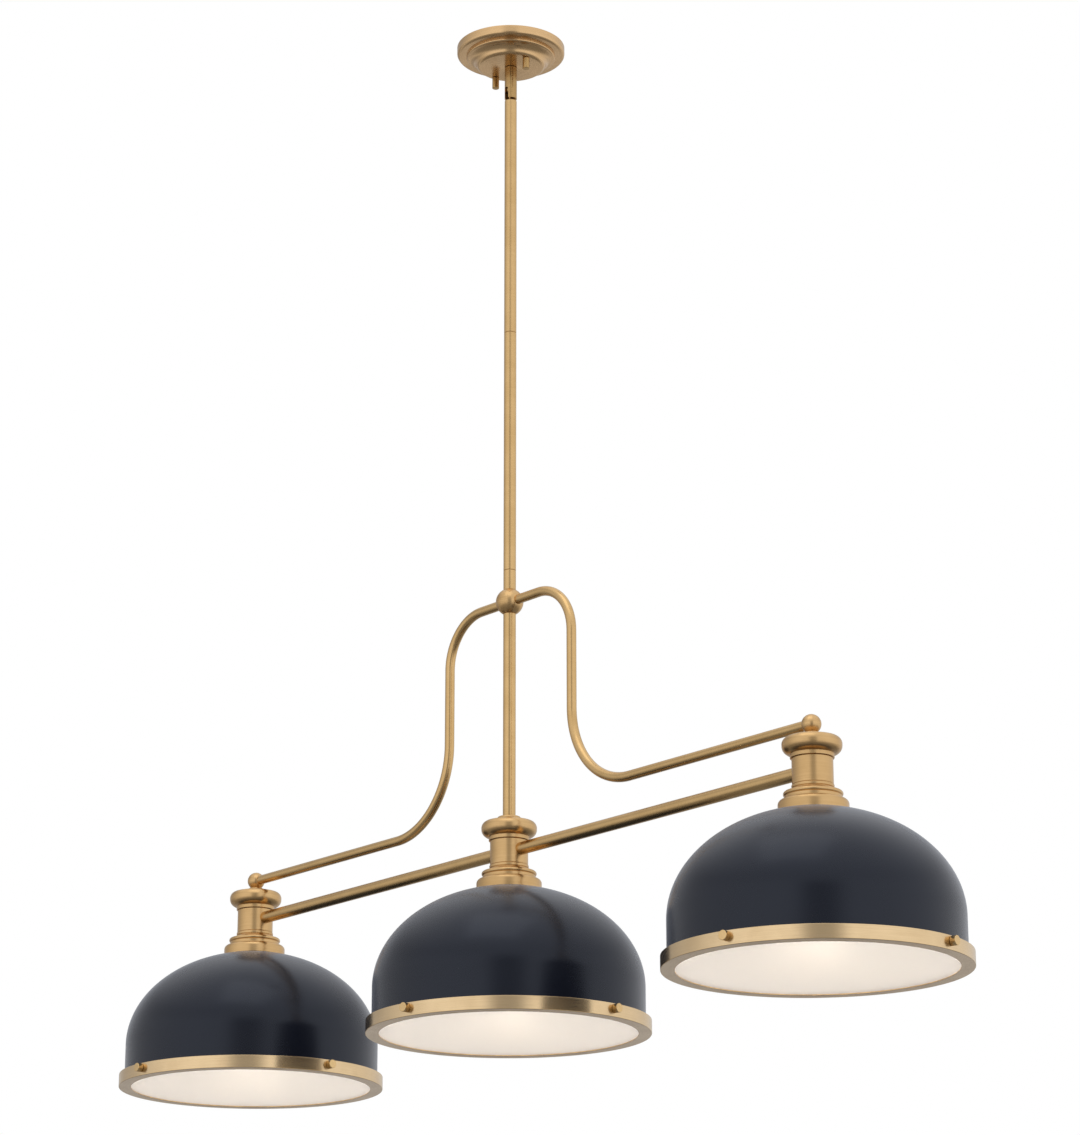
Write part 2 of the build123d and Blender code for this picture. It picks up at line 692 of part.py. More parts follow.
def thumbscrew(side, index):
    """Screw with a plain round head, backed off the shade's wall."""
    tip = SHADE_R + SCREW_TIP_GAP
    seat = BAND_R + FACE_GAP
    end = BAND_R + SCREW_HEAD_T
    screw = turned(
        (0, tip),
        (SCREW_R, tip),
        (SCREW_R, seat),
        (SCREW_HEAD_R, seat),
        (SCREW_HEAD_R, end - TUBE_EDGE),
        (SCREW_HEAD_R - TUBE_EDGE, end),
        (0, end),
    )
    return at_shade(screw_place(side, index) * screw, side)


def diffuser():
    """Opal disc that lies on the band's ledge."""
    radius = BAND_R - BAND_WALL - DIFFUSER_GAP
    low = BAND_LEDGE_T
    return turned((0, low), (radius, low), (radius, low + DIFFUSER_T), (0, low + DIFFUSER_T))


save("mounting_plate", mounting_plate())
save("plate_studs", plate_stud(-1), plate_stud(1))
save("canopy", canopy())
save("canopy_knob_left", canopy_knob(-1))
save("canopy_knob_right", canopy_knob(1))
save("swivel_bolt", swivel_bolt())
save("swivel_nut", swivel_nut())
save("swivel_collar", swivel_collar())
save("swivel_sleeve", swivel_sleeve())
save("swivel_stud", swivel_stud())
save("stem_upper", stem_tube(UPPER_JOINT, STEM_TOP, STEM_TOP_EDGE))
save("stem_lower", stem_tube(LOWER_JOINT, UPPER_JOINT, TUBE_EDGE))
save("stem_short", stem_short())
save(
    "stem_nipples",
    nipple(UPPER_JOINT - NIPPLE_HALF, UPPER_JOINT + NIPPLE_HALF),
    nipple(BALL_Z + 1, LOWER_JOINT + NIPPLE_HALF),
    nipple(ROD_TOP - NIPPLE_HALF, BALL_Z - 1),
)
save("ball_hub", ball_hub())
save("centre_rod", centre_rod())
save("arm_left", arm(-1))
save("arm_right", arm(1))
save("finial_left", finial(-1))
save("finial_right", finial(1))
save("bar_left", bar(-1))
save("bar_right", bar(1))
save("hub_bolts", *[at_shade(hub_bolt(side == "centre"), side) for side in SHADES])
for side, bar_sides in (("left", [1]), ("centre", [-1, 1]), ("right", [-1])):
    save(f"hub_cap_{side}", at_shade(hub_cap(side == "centre"), side))
    save(f"hub_body_{side}", at_shade(hub_body(bar_sides), side))
    save(f"hub_base_{side}", at_shade(hub_base(), side))
    save(f"shade_{side}", at_shade(shade(), side))
    save(f"socket_{side}", at_shade(socket(), side))
    save(f"bulb_{side}", *[at_shade(piece, side) for piece in bulb()])
    save(f"band_{side}", band(side))
    save(f"diffuser_{side}", at_shade(diffuser(), side))
    for index in range(4):
        save(f"thumbscrew_{side}_{index + 1}", thumbscrew(side, index))
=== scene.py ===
"""Looks of the billiard light: turned brass, painted shades, opal discs and soft studio light.

Sizes in the classes are millimetres, as on a drawing, and heights of a shade's pieces count from the
lower face of its band. Meshes are in metres, in the frame's axes, with +Z up.
"""
import json
import logging
import math
from abc import ABC, abstractmethod
from collections.abc import Callable
from dataclasses import dataclass
from enum import Enum

import bpy
import numpy as np
from mathutils import Matrix, Vector

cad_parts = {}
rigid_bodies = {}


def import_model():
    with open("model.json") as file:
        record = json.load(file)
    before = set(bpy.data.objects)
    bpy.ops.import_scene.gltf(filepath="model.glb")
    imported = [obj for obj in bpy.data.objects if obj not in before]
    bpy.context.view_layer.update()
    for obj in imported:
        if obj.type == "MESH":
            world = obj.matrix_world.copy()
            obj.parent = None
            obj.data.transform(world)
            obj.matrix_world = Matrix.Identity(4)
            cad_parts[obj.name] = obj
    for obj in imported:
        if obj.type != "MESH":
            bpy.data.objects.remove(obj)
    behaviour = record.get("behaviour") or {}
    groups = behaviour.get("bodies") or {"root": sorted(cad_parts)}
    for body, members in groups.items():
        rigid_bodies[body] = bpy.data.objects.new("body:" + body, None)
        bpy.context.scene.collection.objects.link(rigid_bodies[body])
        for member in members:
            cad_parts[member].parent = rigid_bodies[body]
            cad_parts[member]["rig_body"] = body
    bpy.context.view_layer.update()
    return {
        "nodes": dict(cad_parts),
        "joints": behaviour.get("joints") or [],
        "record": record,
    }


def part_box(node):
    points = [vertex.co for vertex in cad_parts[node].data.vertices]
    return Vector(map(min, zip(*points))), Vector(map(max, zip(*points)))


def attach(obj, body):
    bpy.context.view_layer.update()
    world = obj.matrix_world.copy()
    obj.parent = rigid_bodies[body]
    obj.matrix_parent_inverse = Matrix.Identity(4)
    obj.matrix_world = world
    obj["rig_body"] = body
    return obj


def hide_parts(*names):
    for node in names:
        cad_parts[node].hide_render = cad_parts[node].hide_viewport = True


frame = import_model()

LOG = logging.getLogger("billiard_light")
MM = 0.001
MAP = "turned_map"
FULL_TURN = 2.0 * math.pi

Colour = tuple[float, float, float]
Place = tuple[float, float, float]
Point = tuple[float, float]


class Side(Enum):
    """Which of the three shades a piece belongs to."""

    LEFT = "left"
    CENTRE = "centre"
    RIGHT = "right"


# Surfaces

def circle(angles: np.ndarray) -> np.ndarray:
    """Points of the unit circle at some angles in radians."""
    return np.column_stack([np.cos(angles), np.sin(angles)])


def stepped(corner: Point, step: Point) -> Point:
    """Point of an outline that lies in from a corner and up from it."""
    return corner[0] - step[0], corner[1] + step[1]


class Outline:
    """Profile in radius and height that is walked from point to point."""

    ARC_STEPS = 16
    EASE_STEPS = 6
    SHARP_TURN = 24.0  # degrees
    HOLD = 1.5  # of the ease's reach
    MOST_REACH = 0.3  # of the shorter side
    SAME_PLACE = 1e-6
    LEAST_LENGTH = 1e-9

    def __init__(self, r: float, z: float) -> None:
        """Start the walk at a point."""
        self.runs: list[np.ndarray] = [np.array([[r, z]], float)]

    def to(self, *points: Point) -> "Outline":
        """Go straight to each point in turn."""
        self.runs.append(np.array(points, float))
        return self

    def arc(self, middle: Point, end: Point) -> "Outline":
        """Go round the circle through the present point, a middle one and the end.

        The centre is where the middle normals of the two chords cross, and the points stand at equal
        angles about it, on the side that the middle point is on.

        Args:
            middle: a point that the arc passes.
            end: where the arc ends.

        Returns:
            The outline itself.
        """
        first, mid, last = self.runs[-1][-1], np.array(middle), np.array(end)
        chords = 2.0 * np.array([mid - first, last - first])
        squares = np.array([mid @ mid - first @ first, last @ last - first @ first])
        centre = np.linalg.solve(chords, squares)
        arms = np.array([first, mid, last]) - centre
        angles = np.arctan2(arms[:, 1], arms[:, 0])
        to_mid, to_last = (angles[1:] - angles[0]) % FULL_TURN
        sweep = to_last if to_mid < to_last else to_last - FULL_TURN
        turn = angles[0] + sweep * np.linspace(0.0, 1.0, self.ARC_STEPS)[1:]
        self.runs.append(centre + np.linalg.norm(arms[0]) * circle(turn))
        return self

    def ellipse(self, centre: Point, radii: Point, first: float, last: float, steps: int) -> "Outline":
        """Follow an ellipse from one parameter angle to another.

        Args:
            centre: centre of the ellipse.
            radii: half its width and half its height.
            first: angle of the first point, in radians.
            last: angle of the last point.
            steps: number of points.

        Returns:
            The outline itself.
        """
        turn = np.linspace(first, last, steps)
        self.runs.append(np.array(centre) + circle(turn) * np.array(radii))
        return self

    def round(self, centre: Point, radius: float, first: float, last: float) -> "Outline":
        """Follow a circle, after a straight way to its first point if the walk isn't there yet.

        Args:
            centre: centre of the circle.
            radius: its radius.
            first: angle of the first point, in degrees.
            last: angle of the last point.

        Returns:
            The outline itself.
        """
        turn = np.radians(np.linspace(first, last, self.ARC_STEPS))
        points = np.array(centre) + radius * circle(turn)
        there = np.linalg.norm(points[0] - self.runs[-1][-1]) <= self.SAME_PLACE
        self.runs.append(points[1:] if there else points)
        return self

    def eased(self, radius: float, closed: bool = False) -> np.ndarray:
        """Round each sharp corner with a parabola.

        The parabola leaves one side and meets the other at the same distance from the corner. One more
        point is kept on each side, so that the flat beside a round is shaded flat.

        Args:
            radius: distance of the parabola's ends from the corner, less where a side is short.
            closed: whether the last point joins the first.

        Returns:
            The rounded outline, one row for each point.
        """
        points = np.concatenate(self.runs)
        back = np.roll(points, 1, axis=0) - points
        ahead = np.roll(points, -1, axis=0) - points
        back_length = np.maximum(np.linalg.norm(back, axis=1), self.LEAST_LENGTH)
        ahead_length = np.maximum(np.linalg.norm(ahead, axis=1), self.LEAST_LENGTH)
        back /= back_length[:, None]
        ahead /= ahead_length[:, None]
        shorter = np.minimum(back_length, ahead_length)
        reach = np.minimum(radius, self.MOST_REACH * shorter)[:, None, None]
        turn = np.degrees(np.arccos(np.clip(-(back * ahead).sum(axis=1), -1.0, 1.0)))
        sharp = turn > self.SHARP_TURN
        if not closed:
            sharp[[0, -1]] = False
        t = np.linspace(0.0, 1.0, self.EASE_STEPS)[None, :, None]
        corner, back, ahead = points[:, None], back[:, None], ahead[:, None]
        bend = corner + reach * ((1.0 - t) ** 2 * back + t**2 * ahead)
        holds = self.HOLD * reach
        rows = np.concatenate([corner + holds * back, bend, corner + holds * ahead], axis=1)
        rows[~sharp, 0] = points[~sharp]
        keep = sharp[:, None] | (np.arange(rows.shape[1]) == 0)
        return rows[keep]

    def spun(self, edge: float, segments: int, closed: bool = False) -> "Surface":
        """Ease the corners and turn the outline about Z."""
        return turned(self.eased(edge, closed), segments, closed)


@dataclass
class Surface:
    """Closed skin in millimetres, with a map: turns about the axis, and metres along the outline."""

    MERGE_DIGITS = 5
    CREASE = 38.0  # degrees

    points: np.ndarray
    quads: np.ndarray
    quad_map: np.ndarray
    triangles: np.ndarray
    triangle_map: np.ndarray

    @classmethod
    def from_grid(cls, grid: np.ndarray, turns: np.ndarray, lengths: np.ndarray, closed: bool) -> "Surface":
        """Skin a grid of points whose columns go once round.

        Points that fall together, as at a pole, become one, and a quad that loses a corner there
        becomes a triangle. The skin is turned so that its faces point outwards.

        Args:
            grid: points as rows, columns and coordinates.
            turns: place of each column, and of the first one again at the end, from 0 to 1.
            lengths: place of each row along the outline, in metres, and the first one's again if closed.
            closed: whether the last row joins the first.

        Returns:
            The skin.
        """
        rows, columns = grid.shape[:2]
        i, j = np.meshgrid(np.arange(rows if closed else rows - 1), np.arange(columns), indexing="ij")
        low, high = i * columns, (i + 1) % rows * columns
        after = (j + 1) % columns
        corners = np.stack([low + j, low + after, high + after, high + j], axis=-1).reshape(-1, 4)
        across = np.stack([turns[j], turns[j + 1], turns[j + 1], turns[j]], axis=-1)
        along = np.stack([lengths[i], lengths[i], lengths[i + 1], lengths[i + 1]], axis=-1)
        spots = np.stack([across, along], axis=-1).reshape(-1, 4, 2)

        flat = grid.reshape(-1, 3)
        rounded = np.round(flat, cls.MERGE_DIGITS)
        _, first, merged = np.unique(rounded, axis=0, return_index=True, return_inverse=True)
        points = flat[first]
        corners = merged.reshape(-1)[corners]
        fresh = corners != np.roll(corners, 1, axis=1)
        count = fresh.sum(axis=1)
        four, three = count == 4, count == 3
        skin = cls(
            points,
            corners[four],
            spots[four],
            corners[three][fresh[three]].reshape(-1, 3),
            spots[three][fresh[three]].reshape(-1, 3, 2),
        )
        return skin.outward()

    def outward(self) -> "Surface":
        """Turn the faces over if the volume that they enclose counts as negative."""
        halves = [self.quads[:, [0, 1, 2]], self.quads[:, [0, 2, 3]], self.triangles]
        a, b, c = self.points[np.concatenate(halves)].transpose(1, 0, 2)
        if (a * np.cross(b, c)).sum() < 0.0:
            self.quads, self.quad_map = self.quads[:, ::-1], self.quad_map[:, ::-1]
            self.triangles, self.triangle_map = self.triangles[:, ::-1], self.triangle_map[:, ::-1]
        return self

    def placed(self, offset: Place, turn: np.ndarray | None = None) -> "Surface":
        """Turn the skin about the origin and then move it.

        Args:
            offset: where the origin goes, in millimetres.
            turn: rotation matrix, or None to leave the skin as it stands.

        Returns:
            The skin itself.
        """
        turned = self.points if turn is None else self.points @ turn.T
        self.points = turned + np.array(offset)
        return self

    def joined(self, *others: "Surface") -> "Surface":
        """Gather this skin and others into one mesh.

        Args:
            others: skins that stay separate shells.

        Returns:
            One skin that holds them all.
        """
        skins = [self, *others]
        starts = np.cumsum([0] + [len(skin.points) for skin in skins])
        return Surface(
            np.concatenate([skin.points for skin in skins]),
            np.concatenate([skin.quads + start for skin, start in zip(skins, starts)]),
            np.concatenate([skin.quad_map for skin in skins]),
            np.concatenate([skin.triangles + start for skin, start in zip(skins, starts)]),
            np.concatenate([skin.triangle_map for skin in skins]),
        )

    def mesh(self, name: str) -> bpy.types.Mesh:
        """Put the skin into a smooth-shaded mesh, in metres.

        Args:
            name: name of the mesh.

        Returns:
            The mesh.
        """
        mesh = bpy.data.meshes.new(name)
        mesh.from_pydata((self.points * MM).tolist(), [], self.quads.tolist() + self.triangles.tolist())
        spots = np.concatenate([self.quad_map.reshape(-1, 2), self.triangle_map.reshape(-1, 2)])
        layer = mesh.uv_layers.new(name=MAP)
        layer.data.foreach_set("uv", spots.astype(np.float32).ravel())
        mesh.shade_smooth()
        mesh.set_sharp_from_angle(angle=math.radians(self.CREASE))
        mesh.update()
        return mesh


def lengths_along(points: np.ndarray, closed: bool) -> np.ndarray:
    """Distance of each point from the first, walked along the points.

    Args:
        points: points in millimetres, one in each row.
        closed: whether the way goes on to the first point again.

    Returns:
        The distances in metres.
    """
    way = np.concatenate([points, points[:1]]) if closed else points
    steps = np.linalg.norm(np.diff(way, axis=0), axis=1)
    return np.concatenate([[0.0], np.cumsum(steps)]) * MM


def turned(outline: np.ndarray, segments: int, closed: bool = False) -> Surface:
    """Turn an outline about Z: x = r cos a, y = r sin a, z = z.

    Args:
        outline: radius and height in each row.
        segments: steps in a full turn.
        closed: whether the outline is a loop, as a ring's section is.

    Returns:
        The turned skin.
    """
    turns = np.linspace(0.0, 1.0, segments + 1)
    angle = FULL_TURN * turns[:-1]
    r, z = outline[:, 0, None], outline[:, 1, None]
    grid = np.stack([r * np.cos(angle), r * np.sin(angle), z + 0.0 * angle], axis=-1)
    return Surface.from_grid(grid, turns, lengths_along(outline, closed), closed)


def tube(path: np.ndarray, radius: float, segments: int) -> Surface:
    """Carry a circle along a path in the XZ plane, with a flat end at each end of it.

    A point is the path's own, plus the radius times (cos a times the path's normal + sin a times Y).

    Args:
        path: points in millimetres, one in each row.
        radius: radius of the circle.
        segments: steps round the circle.

    Returns:
        The skin of the tube.
    """
    along = np.gradient(path, axis=0)
    along /= np.linalg.norm(along, axis=1)[:, None]
    beside = np.array([0.0, 1.0, 0.0])
    normal = np.cross(along, beside)
    rows = np.concatenate([[0], np.arange(len(path)), [len(path) - 1]])
    size = np.full((len(rows), 1, 1), radius)
    size[[0, -1]] = 0.0
    turns = np.linspace(0.0, 1.0, segments + 1)
    angle = FULL_TURN * turns[:-1, None]
    ring = np.cos(angle) * normal[rows][:, None] + np.sin(angle) * beside
    grid = path[rows][:, None] + size * ring
    return Surface.from_grid(grid, turns, lengths_along(path[rows], False), False)


def outward_turn(degrees: float) -> np.ndarray:
    """Rotation that lays a piece's Z axis level, pointing outwards at an angle from X."""
    level = Matrix.Rotation(math.radians(90.0), 3, "Y")
    return np.array(Matrix.Rotation(math.radians(degrees), 3, "Z") @ level)


# Node trees

def math_node(operation: str, reflected: bool = False) -> Callable[..., "Signal"]:
    """Make a method of Signal that adds a Math node.

    Args:
        operation: name of the node's operation.
        reflected: whether the signal comes last, as it does on the right of a number.

    Returns:
        The method, which gives the node's output.
    """
    def method(self: "Signal", *others: "Signal | float") -> "Signal":
        """Add the node to the signal's tree."""
        values = (*others, self) if reflected else (self, *others)
        return self.bench.add("ShaderNodeMath", {"operation": operation}, dict(enumerate(values)))

    return method


class Signal:
    """Value on a wire of a node tree: arithmetic on it adds Math nodes."""

    NOISE_MEAN = 0.5

    def __init__(self, bench: "Bench", socket: bpy.types.NodeSocket) -> None:
        """Hold an output socket and the bench that its tree is on."""
        self.bench = bench
        self.socket = socket

    __add__, __radd__ = math_node("ADD"), math_node("ADD", reflected=True)
    __sub__, __rsub__ = math_node("SUBTRACT"), math_node("SUBTRACT", reflected=True)
    __mul__, __rmul__ = math_node("MULTIPLY"), math_node("MULTIPLY", reflected=True)
    __truediv__ = math_node("DIVIDE")
    __gt__ = math_node("GREATER_THAN")
    cos, sin, root = math_node("COSINE"), math_node("SINE"), math_node("SQRT")
    most = math_node("MAXIMUM")

    def swing(self, size: float) -> "Signal":
        """A noise's departure from its mean, times a size."""
        return (self - self.NOISE_MEAN) * size

    def eased(self, low: float, high: float) -> "Signal":
        """Smooth step from 0 at one limit to 1 at the other."""
        settings = {"interpolation_type": "SMOOTHSTEP"}
        return self.bench.add("ShaderNodeMapRange", settings, {"Value": self, 1: low, 2: high})


class Bench:
    """Node tree of a material or the world, emptied and built up again."""

    MIX_FACTOR, MIX_A, MIX_B, MIX_RESULT = 0, 6, 7, 2

    def __init__(self, owner: "bpy.types.Material | bpy.types.World") -> None:
        """Empty the owner's node tree."""
        owner.use_nodes = True
        self.tree = owner.node_tree
        self.tree.nodes.clear()

    def add(
        self, kind: str, settings: dict | None = None, values: dict | None = None, out: int | str = 0
    ) -> Signal:
        """Add a node.

        Args:
            kind: type of the node.
            settings: its properties, which are set first.
            values: what its sockets hold or are linked to, by socket name or number.
            out: the output that is wanted.

        Returns:
            That output, or the first input of a node that has no output.
        """
        node = self.tree.nodes.new(kind)
        for name, value in (settings or {}).items():
            setattr(node, name, value)
        for key, value in (values or {}).items():
            if isinstance(value, Signal):
                self.tree.links.new(value.socket, node.inputs[key])
            else:
                node.inputs[key].default_value = value
        return Signal(self, node.outputs[out] if node.outputs else node.inputs[0])

    def part(self, signal: Signal, out: int | str) -> Signal:
        """Another output of the node that a signal comes from."""
        return Signal(self, signal.socket.node.outputs[out])

    def split(self, vector: Signal) -> tuple[Signal, Signal, Signal]:
        """The three coordinates of a vector."""
        x = self.add("ShaderNodeSeparateXYZ", None, {0: vector})
        return x, self.part(x, 1), self.part(x, 2)

    def join(self, x: "Signal | float", y: "Signal | float", z: "Signal | float") -> Signal:
        """A vector of three coordinates."""
        return self.add("ShaderNodeCombineXYZ", None, {0: x, 1: y, 2: z})

    def place(self) -> Signal:
        """Object coordinates."""
        return self.add("ShaderNodeTexCoord", None, None, "Object")

    def map(self) -> tuple[Signal, Signal]:
        """Turns about the axis, and metres along the outline, from the piece's own map."""
        turns, along, _ = self.split(self.add("ShaderNodeUVMap", {"uv_map": MAP}))
        return turns, along

    def noise(self, vector: Signal, scale: float, detail: float = 2.0, rough: float = 0.5) -> Signal:
        """Cloudy noise from 0 to 1.

        Args:
            vector: where it is read.
            scale: clouds in each unit of length.
            detail: number of finer layers.
            rough: weight of the finer layers.

        Returns:
            The noise.
        """
        values = {"Vector": vector, "Scale": scale, "Detail": detail, "Roughness": rough}
        return self.add("ShaderNodeTexNoise", None, values)

    def mix(self, factor: "Signal | float", a: "Signal | Colour", b: "Signal | Colour") -> Signal:
        """Colour between two others.

        Args:
            factor: 0 for the first colour and 1 for the second.
            a: the first colour.
            b: the second colour.

        Returns:
            The mixed colour.
        """
        ends = [(*c, 1.0) if isinstance(c, tuple) else c for c in (a, b)]
        values = {self.MIX_FACTOR: factor, self.MIX_A: ends[0], self.MIX_B: ends[1]}
        return self.add("ShaderNodeMix", {"data_type": "RGBA"}, values, self.MIX_RESULT)

    def bump(self, height: Signal, strength: float, depth: float) -> Signal:
        """Normal of a relief that is from 0 to 1, of a strength, and a depth in metres."""
        return self.add("ShaderNodeBump", None, {"Strength": strength, "Distance": depth, "Height": height})

    def seen(self, metal_share: "Signal | float") -> Signal:
        """How much of the backdrop a ray is to see.

        Args:
            metal_share: how much of it metal shows.

        Returns:
            1 for the camera's rays and those through glass, and the share for those off metal.
        """
        camera = self.add("ShaderNodeLightPath", None, None, "Is Camera Ray")
        glass = self.part(camera, "Is Transmission Ray")
        return camera.most(glass).most(self.part(camera, "Is Glossy Ray") * metal_share)


# Finishes

def shaded(colour: Colour, factor: float) -> Colour:
    """A colour that is darker or lighter by a factor."""
    return tuple(factor * c for c in colour)


@dataclass(frozen=True)
class Finish(ABC):
    """Finish of a piece: a name, a colour and what its shader's sockets get."""

    name: str
    colour: Colour

    @abstractmethod
    def sockets(self, bench: Bench) -> dict:
        """What the Principled shader's sockets hold or are linked to."""

    def material(self) -> bpy.types.Material:
        """Build the material.

        Returns:
            A material that ends in one Principled shader.
        """
        material = bpy.data.materials.new(self.name)
        bench = Bench(material)
        shader = bench.add("ShaderNodeBsdfPrincipled", None, self.sockets(bench))
        bench.add("ShaderNodeOutputMaterial", None, {"Surface": shader})
        return material


@dataclass(frozen=True)
class BrushedBrass(Finish):
    """Lacquered brass with fine brush lines round its axis and a slight patina."""

    patina: Colour
    roughness: float
    line_pitch: float = 0.7
    strokes: float = 0.5
    relief: float = 0.03
    anisotropy: float = 0.6

    def lines(self, bench: Bench) -> Signal:
        """Brush lines: noise that is stretched round the axis.

        The turn about the axis is read as a point of a circle, so that the lines have no seam.

        Args:
            bench: the material's node tree.

        Returns:
            The lines, from 0 to 1.
        """
        turns, along = bench.map()
        angle = turns * FULL_TURN
        x, y = angle.cos() * self.strokes, angle.sin() * self.strokes
        spot = bench.join(x, y, along * (1.0 / (self.line_pitch * MM)))
        return bench.noise(spot, scale=1.0, detail=3.0, rough=0.62)

    def sockets(self, bench: Bench) -> dict:
        """Metal whose colour, gloss and relief follow the brush lines.

        Args:
            bench: the material's node tree.

        Returns:
            Values of the shader's sockets.
        """
        lines = self.lines(bench)
        cloud = bench.noise(bench.place(), scale=34.0, detail=3.0)
        mean_wear = 0.42
        wear = lines.swing(0.9) + cloud.swing(0.9) + mean_wear
        return {
            "Base Color": bench.mix(wear.eased(0.0, 1.0), self.colour, self.patina),
            "Metallic": 1.0,
            "Roughness": self.roughness + lines.swing(0.10) + cloud.swing(0.08),
            "Anisotropic": self.anisotropy,
            "Anisotropic Rotation": 0.25,
            "Normal": bench.bump(lines, self.relief, depth=0.00012),
        }


@dataclass(frozen=True)
class SatinPaint(Finish):
    """Baked paint on spun sheet: dark outside, white inside, with a faint orange peel."""

    lining: Colour
    lining_from: float
    roughness: float
    sheen: Colour = (0.78, 0.85, 1.0)
    bloom: float = 0.45

    def sockets(self, bench: Bench) -> dict:
        """Paint that turns white where the map passes the rim.

        Args:
            bench: the material's node tree.

        Returns:
            Values of the shader's sockets.
        """
        _, along = bench.map()
        inside = along > self.lining_from
        place = bench.place()
        peel = bench.noise(place, scale=620.0)
        cloud = bench.noise(place, scale=16.0, detail=3.0)
        deep = shaded(self.colour, factor=0.86)
        outside = bench.mix(cloud.eased(low=0.3, high=0.7), self.colour, deep)
        return {
            "Base Color": bench.mix(inside, outside, self.lining),
            "Roughness": self.roughness + cloud.swing(0.10) + peel.swing(0.05),
            "Specular IOR Level": 0.44,
            "Specular Tint": (*self.sheen, 1.0),
            "Sheen Weight": self.bloom,
            "Sheen Roughness": 0.30,
            "Sheen Tint": (*self.sheen, 1.0),
            "Normal": bench.bump(peel, strength=0.05, depth=0.0002),
        }


@dataclass(frozen=True)
class OpalDisc(Finish):
    """Opal acrylic: its own even painted glow stands for scattered bulb light; the bulb shows as a blur."""

    # painted glow: emission colour that stands for the bulb's light scattered in the disc
    glow: Colour
    clearness: float

    def sockets(self, bench: Bench) -> dict:
        """Pale plastic that lets a part of the light through, with a painted glow as emission.

        Args:
            bench: the material's node tree.

        Returns:
            Values of the shader's sockets.
        """
        # Painted glow: an even emission, faintly clouded, stands for the bulb's light scattered in the
        # acrylic.
        cloud = bench.noise(bench.place(), scale=9.0).eased(low=0.25, high=0.75)
        even = bench.mix(cloud, self.glow, shaded(self.glow, factor=0.965))
        grain = bench.noise(bench.place(), scale=900.0)
        return {
            "Base Color": (*self.colour, 1.0),
            "Roughness": 0.50 + grain.swing(0.12),
            "Transmission Weight": self.clearness,
            "IOR": 1.35,
            "Emission Color": even,
            "Emission Strength": 1.0,
        }


@dataclass(frozen=True)
class FrostedGlass(Finish):
    """White-frosted bulb, lit."""

    glow: Colour
    strength: float

    def sockets(self, bench: Bench) -> dict:
        """Glass with a slightly cloudy glow.

        Args:
            bench: the material's node tree.

        Returns:
            Values of the shader's sockets.
        """
        cloud = bench.noise(bench.place(), scale=60.0)
        return {
            "Base Color": (*self.colour, 1.0),
            "Roughness": 0.35 + cloud.swing(0.1),
            "Emission Color": bench.mix(cloud, self.glow, shaded(self.glow, factor=0.9)),
            "Emission Strength": self.strength,
        }


@dataclass(frozen=True)
class MouldedPlastic(Finish):
    """Dark moulded plastic of a lamp holder."""

    roughness: float

    def sockets(self, bench: Bench) -> dict:
        """Plastic with a fine mould grain.

        Args:
            bench: the material's node tree.

        Returns:
            Values of the shader's sockets.
        """
        grain = bench.noise(bench.place(), scale=700.0, detail=3.0)
        cloud = bench.noise(bench.place(), scale=45.0)
        return {
            "Base Color": bench.mix(cloud, self.colour, shaded(self.colour, factor=1.5)),
            "Roughness": self.roughness + grain.swing(0.2),
            "Normal": bench.bump(grain, strength=0.1, depth=0.0001),
        }


@dataclass(frozen=True)
class ZincSteel(Finish):
    """Zinc-plated steel with the soft spangle of the plating."""

    roughness: float

    def sockets(self, bench: Bench) -> dict:
        """Grey metal with flecks and cloudy gloss.

        Args:
            bench: the material's node tree.

        Returns:
            Values of the shader's sockets.
        """
        place = bench.place()
        fleck = bench.noise(place, scale=420.0)
        cloud = bench.noise(place, scale=60.0, detail=3.0)
        tone = (fleck.swing(0.6) + cloud).eased(low=0.2, high=0.8)
        return {
            "Base Color": bench.mix(tone, self.colour, shaded(self.colour, factor=0.82)),
            "Metallic": 1.0,
            "Roughness": self.roughness + cloud.swing(0.2),
            "Normal": bench.bump(fleck, strength=0.06, depth=0.0001),
        }


TUBE_BRASS = BrushedBrass("tube_brass", (0.70, 0.470, 0.218), (0.58, 0.372, 0.154), 0.25, strokes=0.25)
CAST_BRASS = BrushedBrass("cast_brass", (0.69, 0.455, 0.215), (0.56, 0.352, 0.150), 0.30)
CANOPY_BRASS = BrushedBrass("canopy_brass", (0.75, 0.50, 0.260), (0.61, 0.392, 0.184), 0.24, strokes=0.8)
BAND_BRASS = BrushedBrass("band_brass", (0.80, 0.598, 0.352), (0.67, 0.485, 0.270), 0.22, strokes=2.0)
SCREW_BRASS = BrushedBrass(
    "screw_brass", (0.78, 0.55, 0.27), (0.66, 0.44, 0.20), 0.26, line_pitch=0.4, strokes=0.3
)
SWIVEL_BRASS = BrushedBrass(
    "swivel_brass", (0.53, 0.34, 0.14), (0.42, 0.26, 0.10), 0.24, line_pitch=0.5, strokes=0.3
)
BULB_BASE = BrushedBrass("bulb_base", (0.70, 0.66, 0.58), (0.55, 0.50, 0.42), 0.30, line_pitch=2.5)
# OPAL's third colour is a painted glow: emission that stands for the bulb's scattered light, not a lamp.
OPAL = OpalDisc("diffuser_opal", (0.80, 0.77, 0.72), (0.243, 0.226, 0.213), 0.6)
BULB_GLASS = FrostedGlass("bulb_glass", (0.85, 0.83, 0.78), (1.0, 0.88, 0.74), 12.0)
HOLDER = MouldedPlastic("socket_plastic", (0.018, 0.017, 0.016), 0.42)
STEEL = ZincSteel("steel", (0.56, 0.56, 0.54), 0.36)


# Workshop

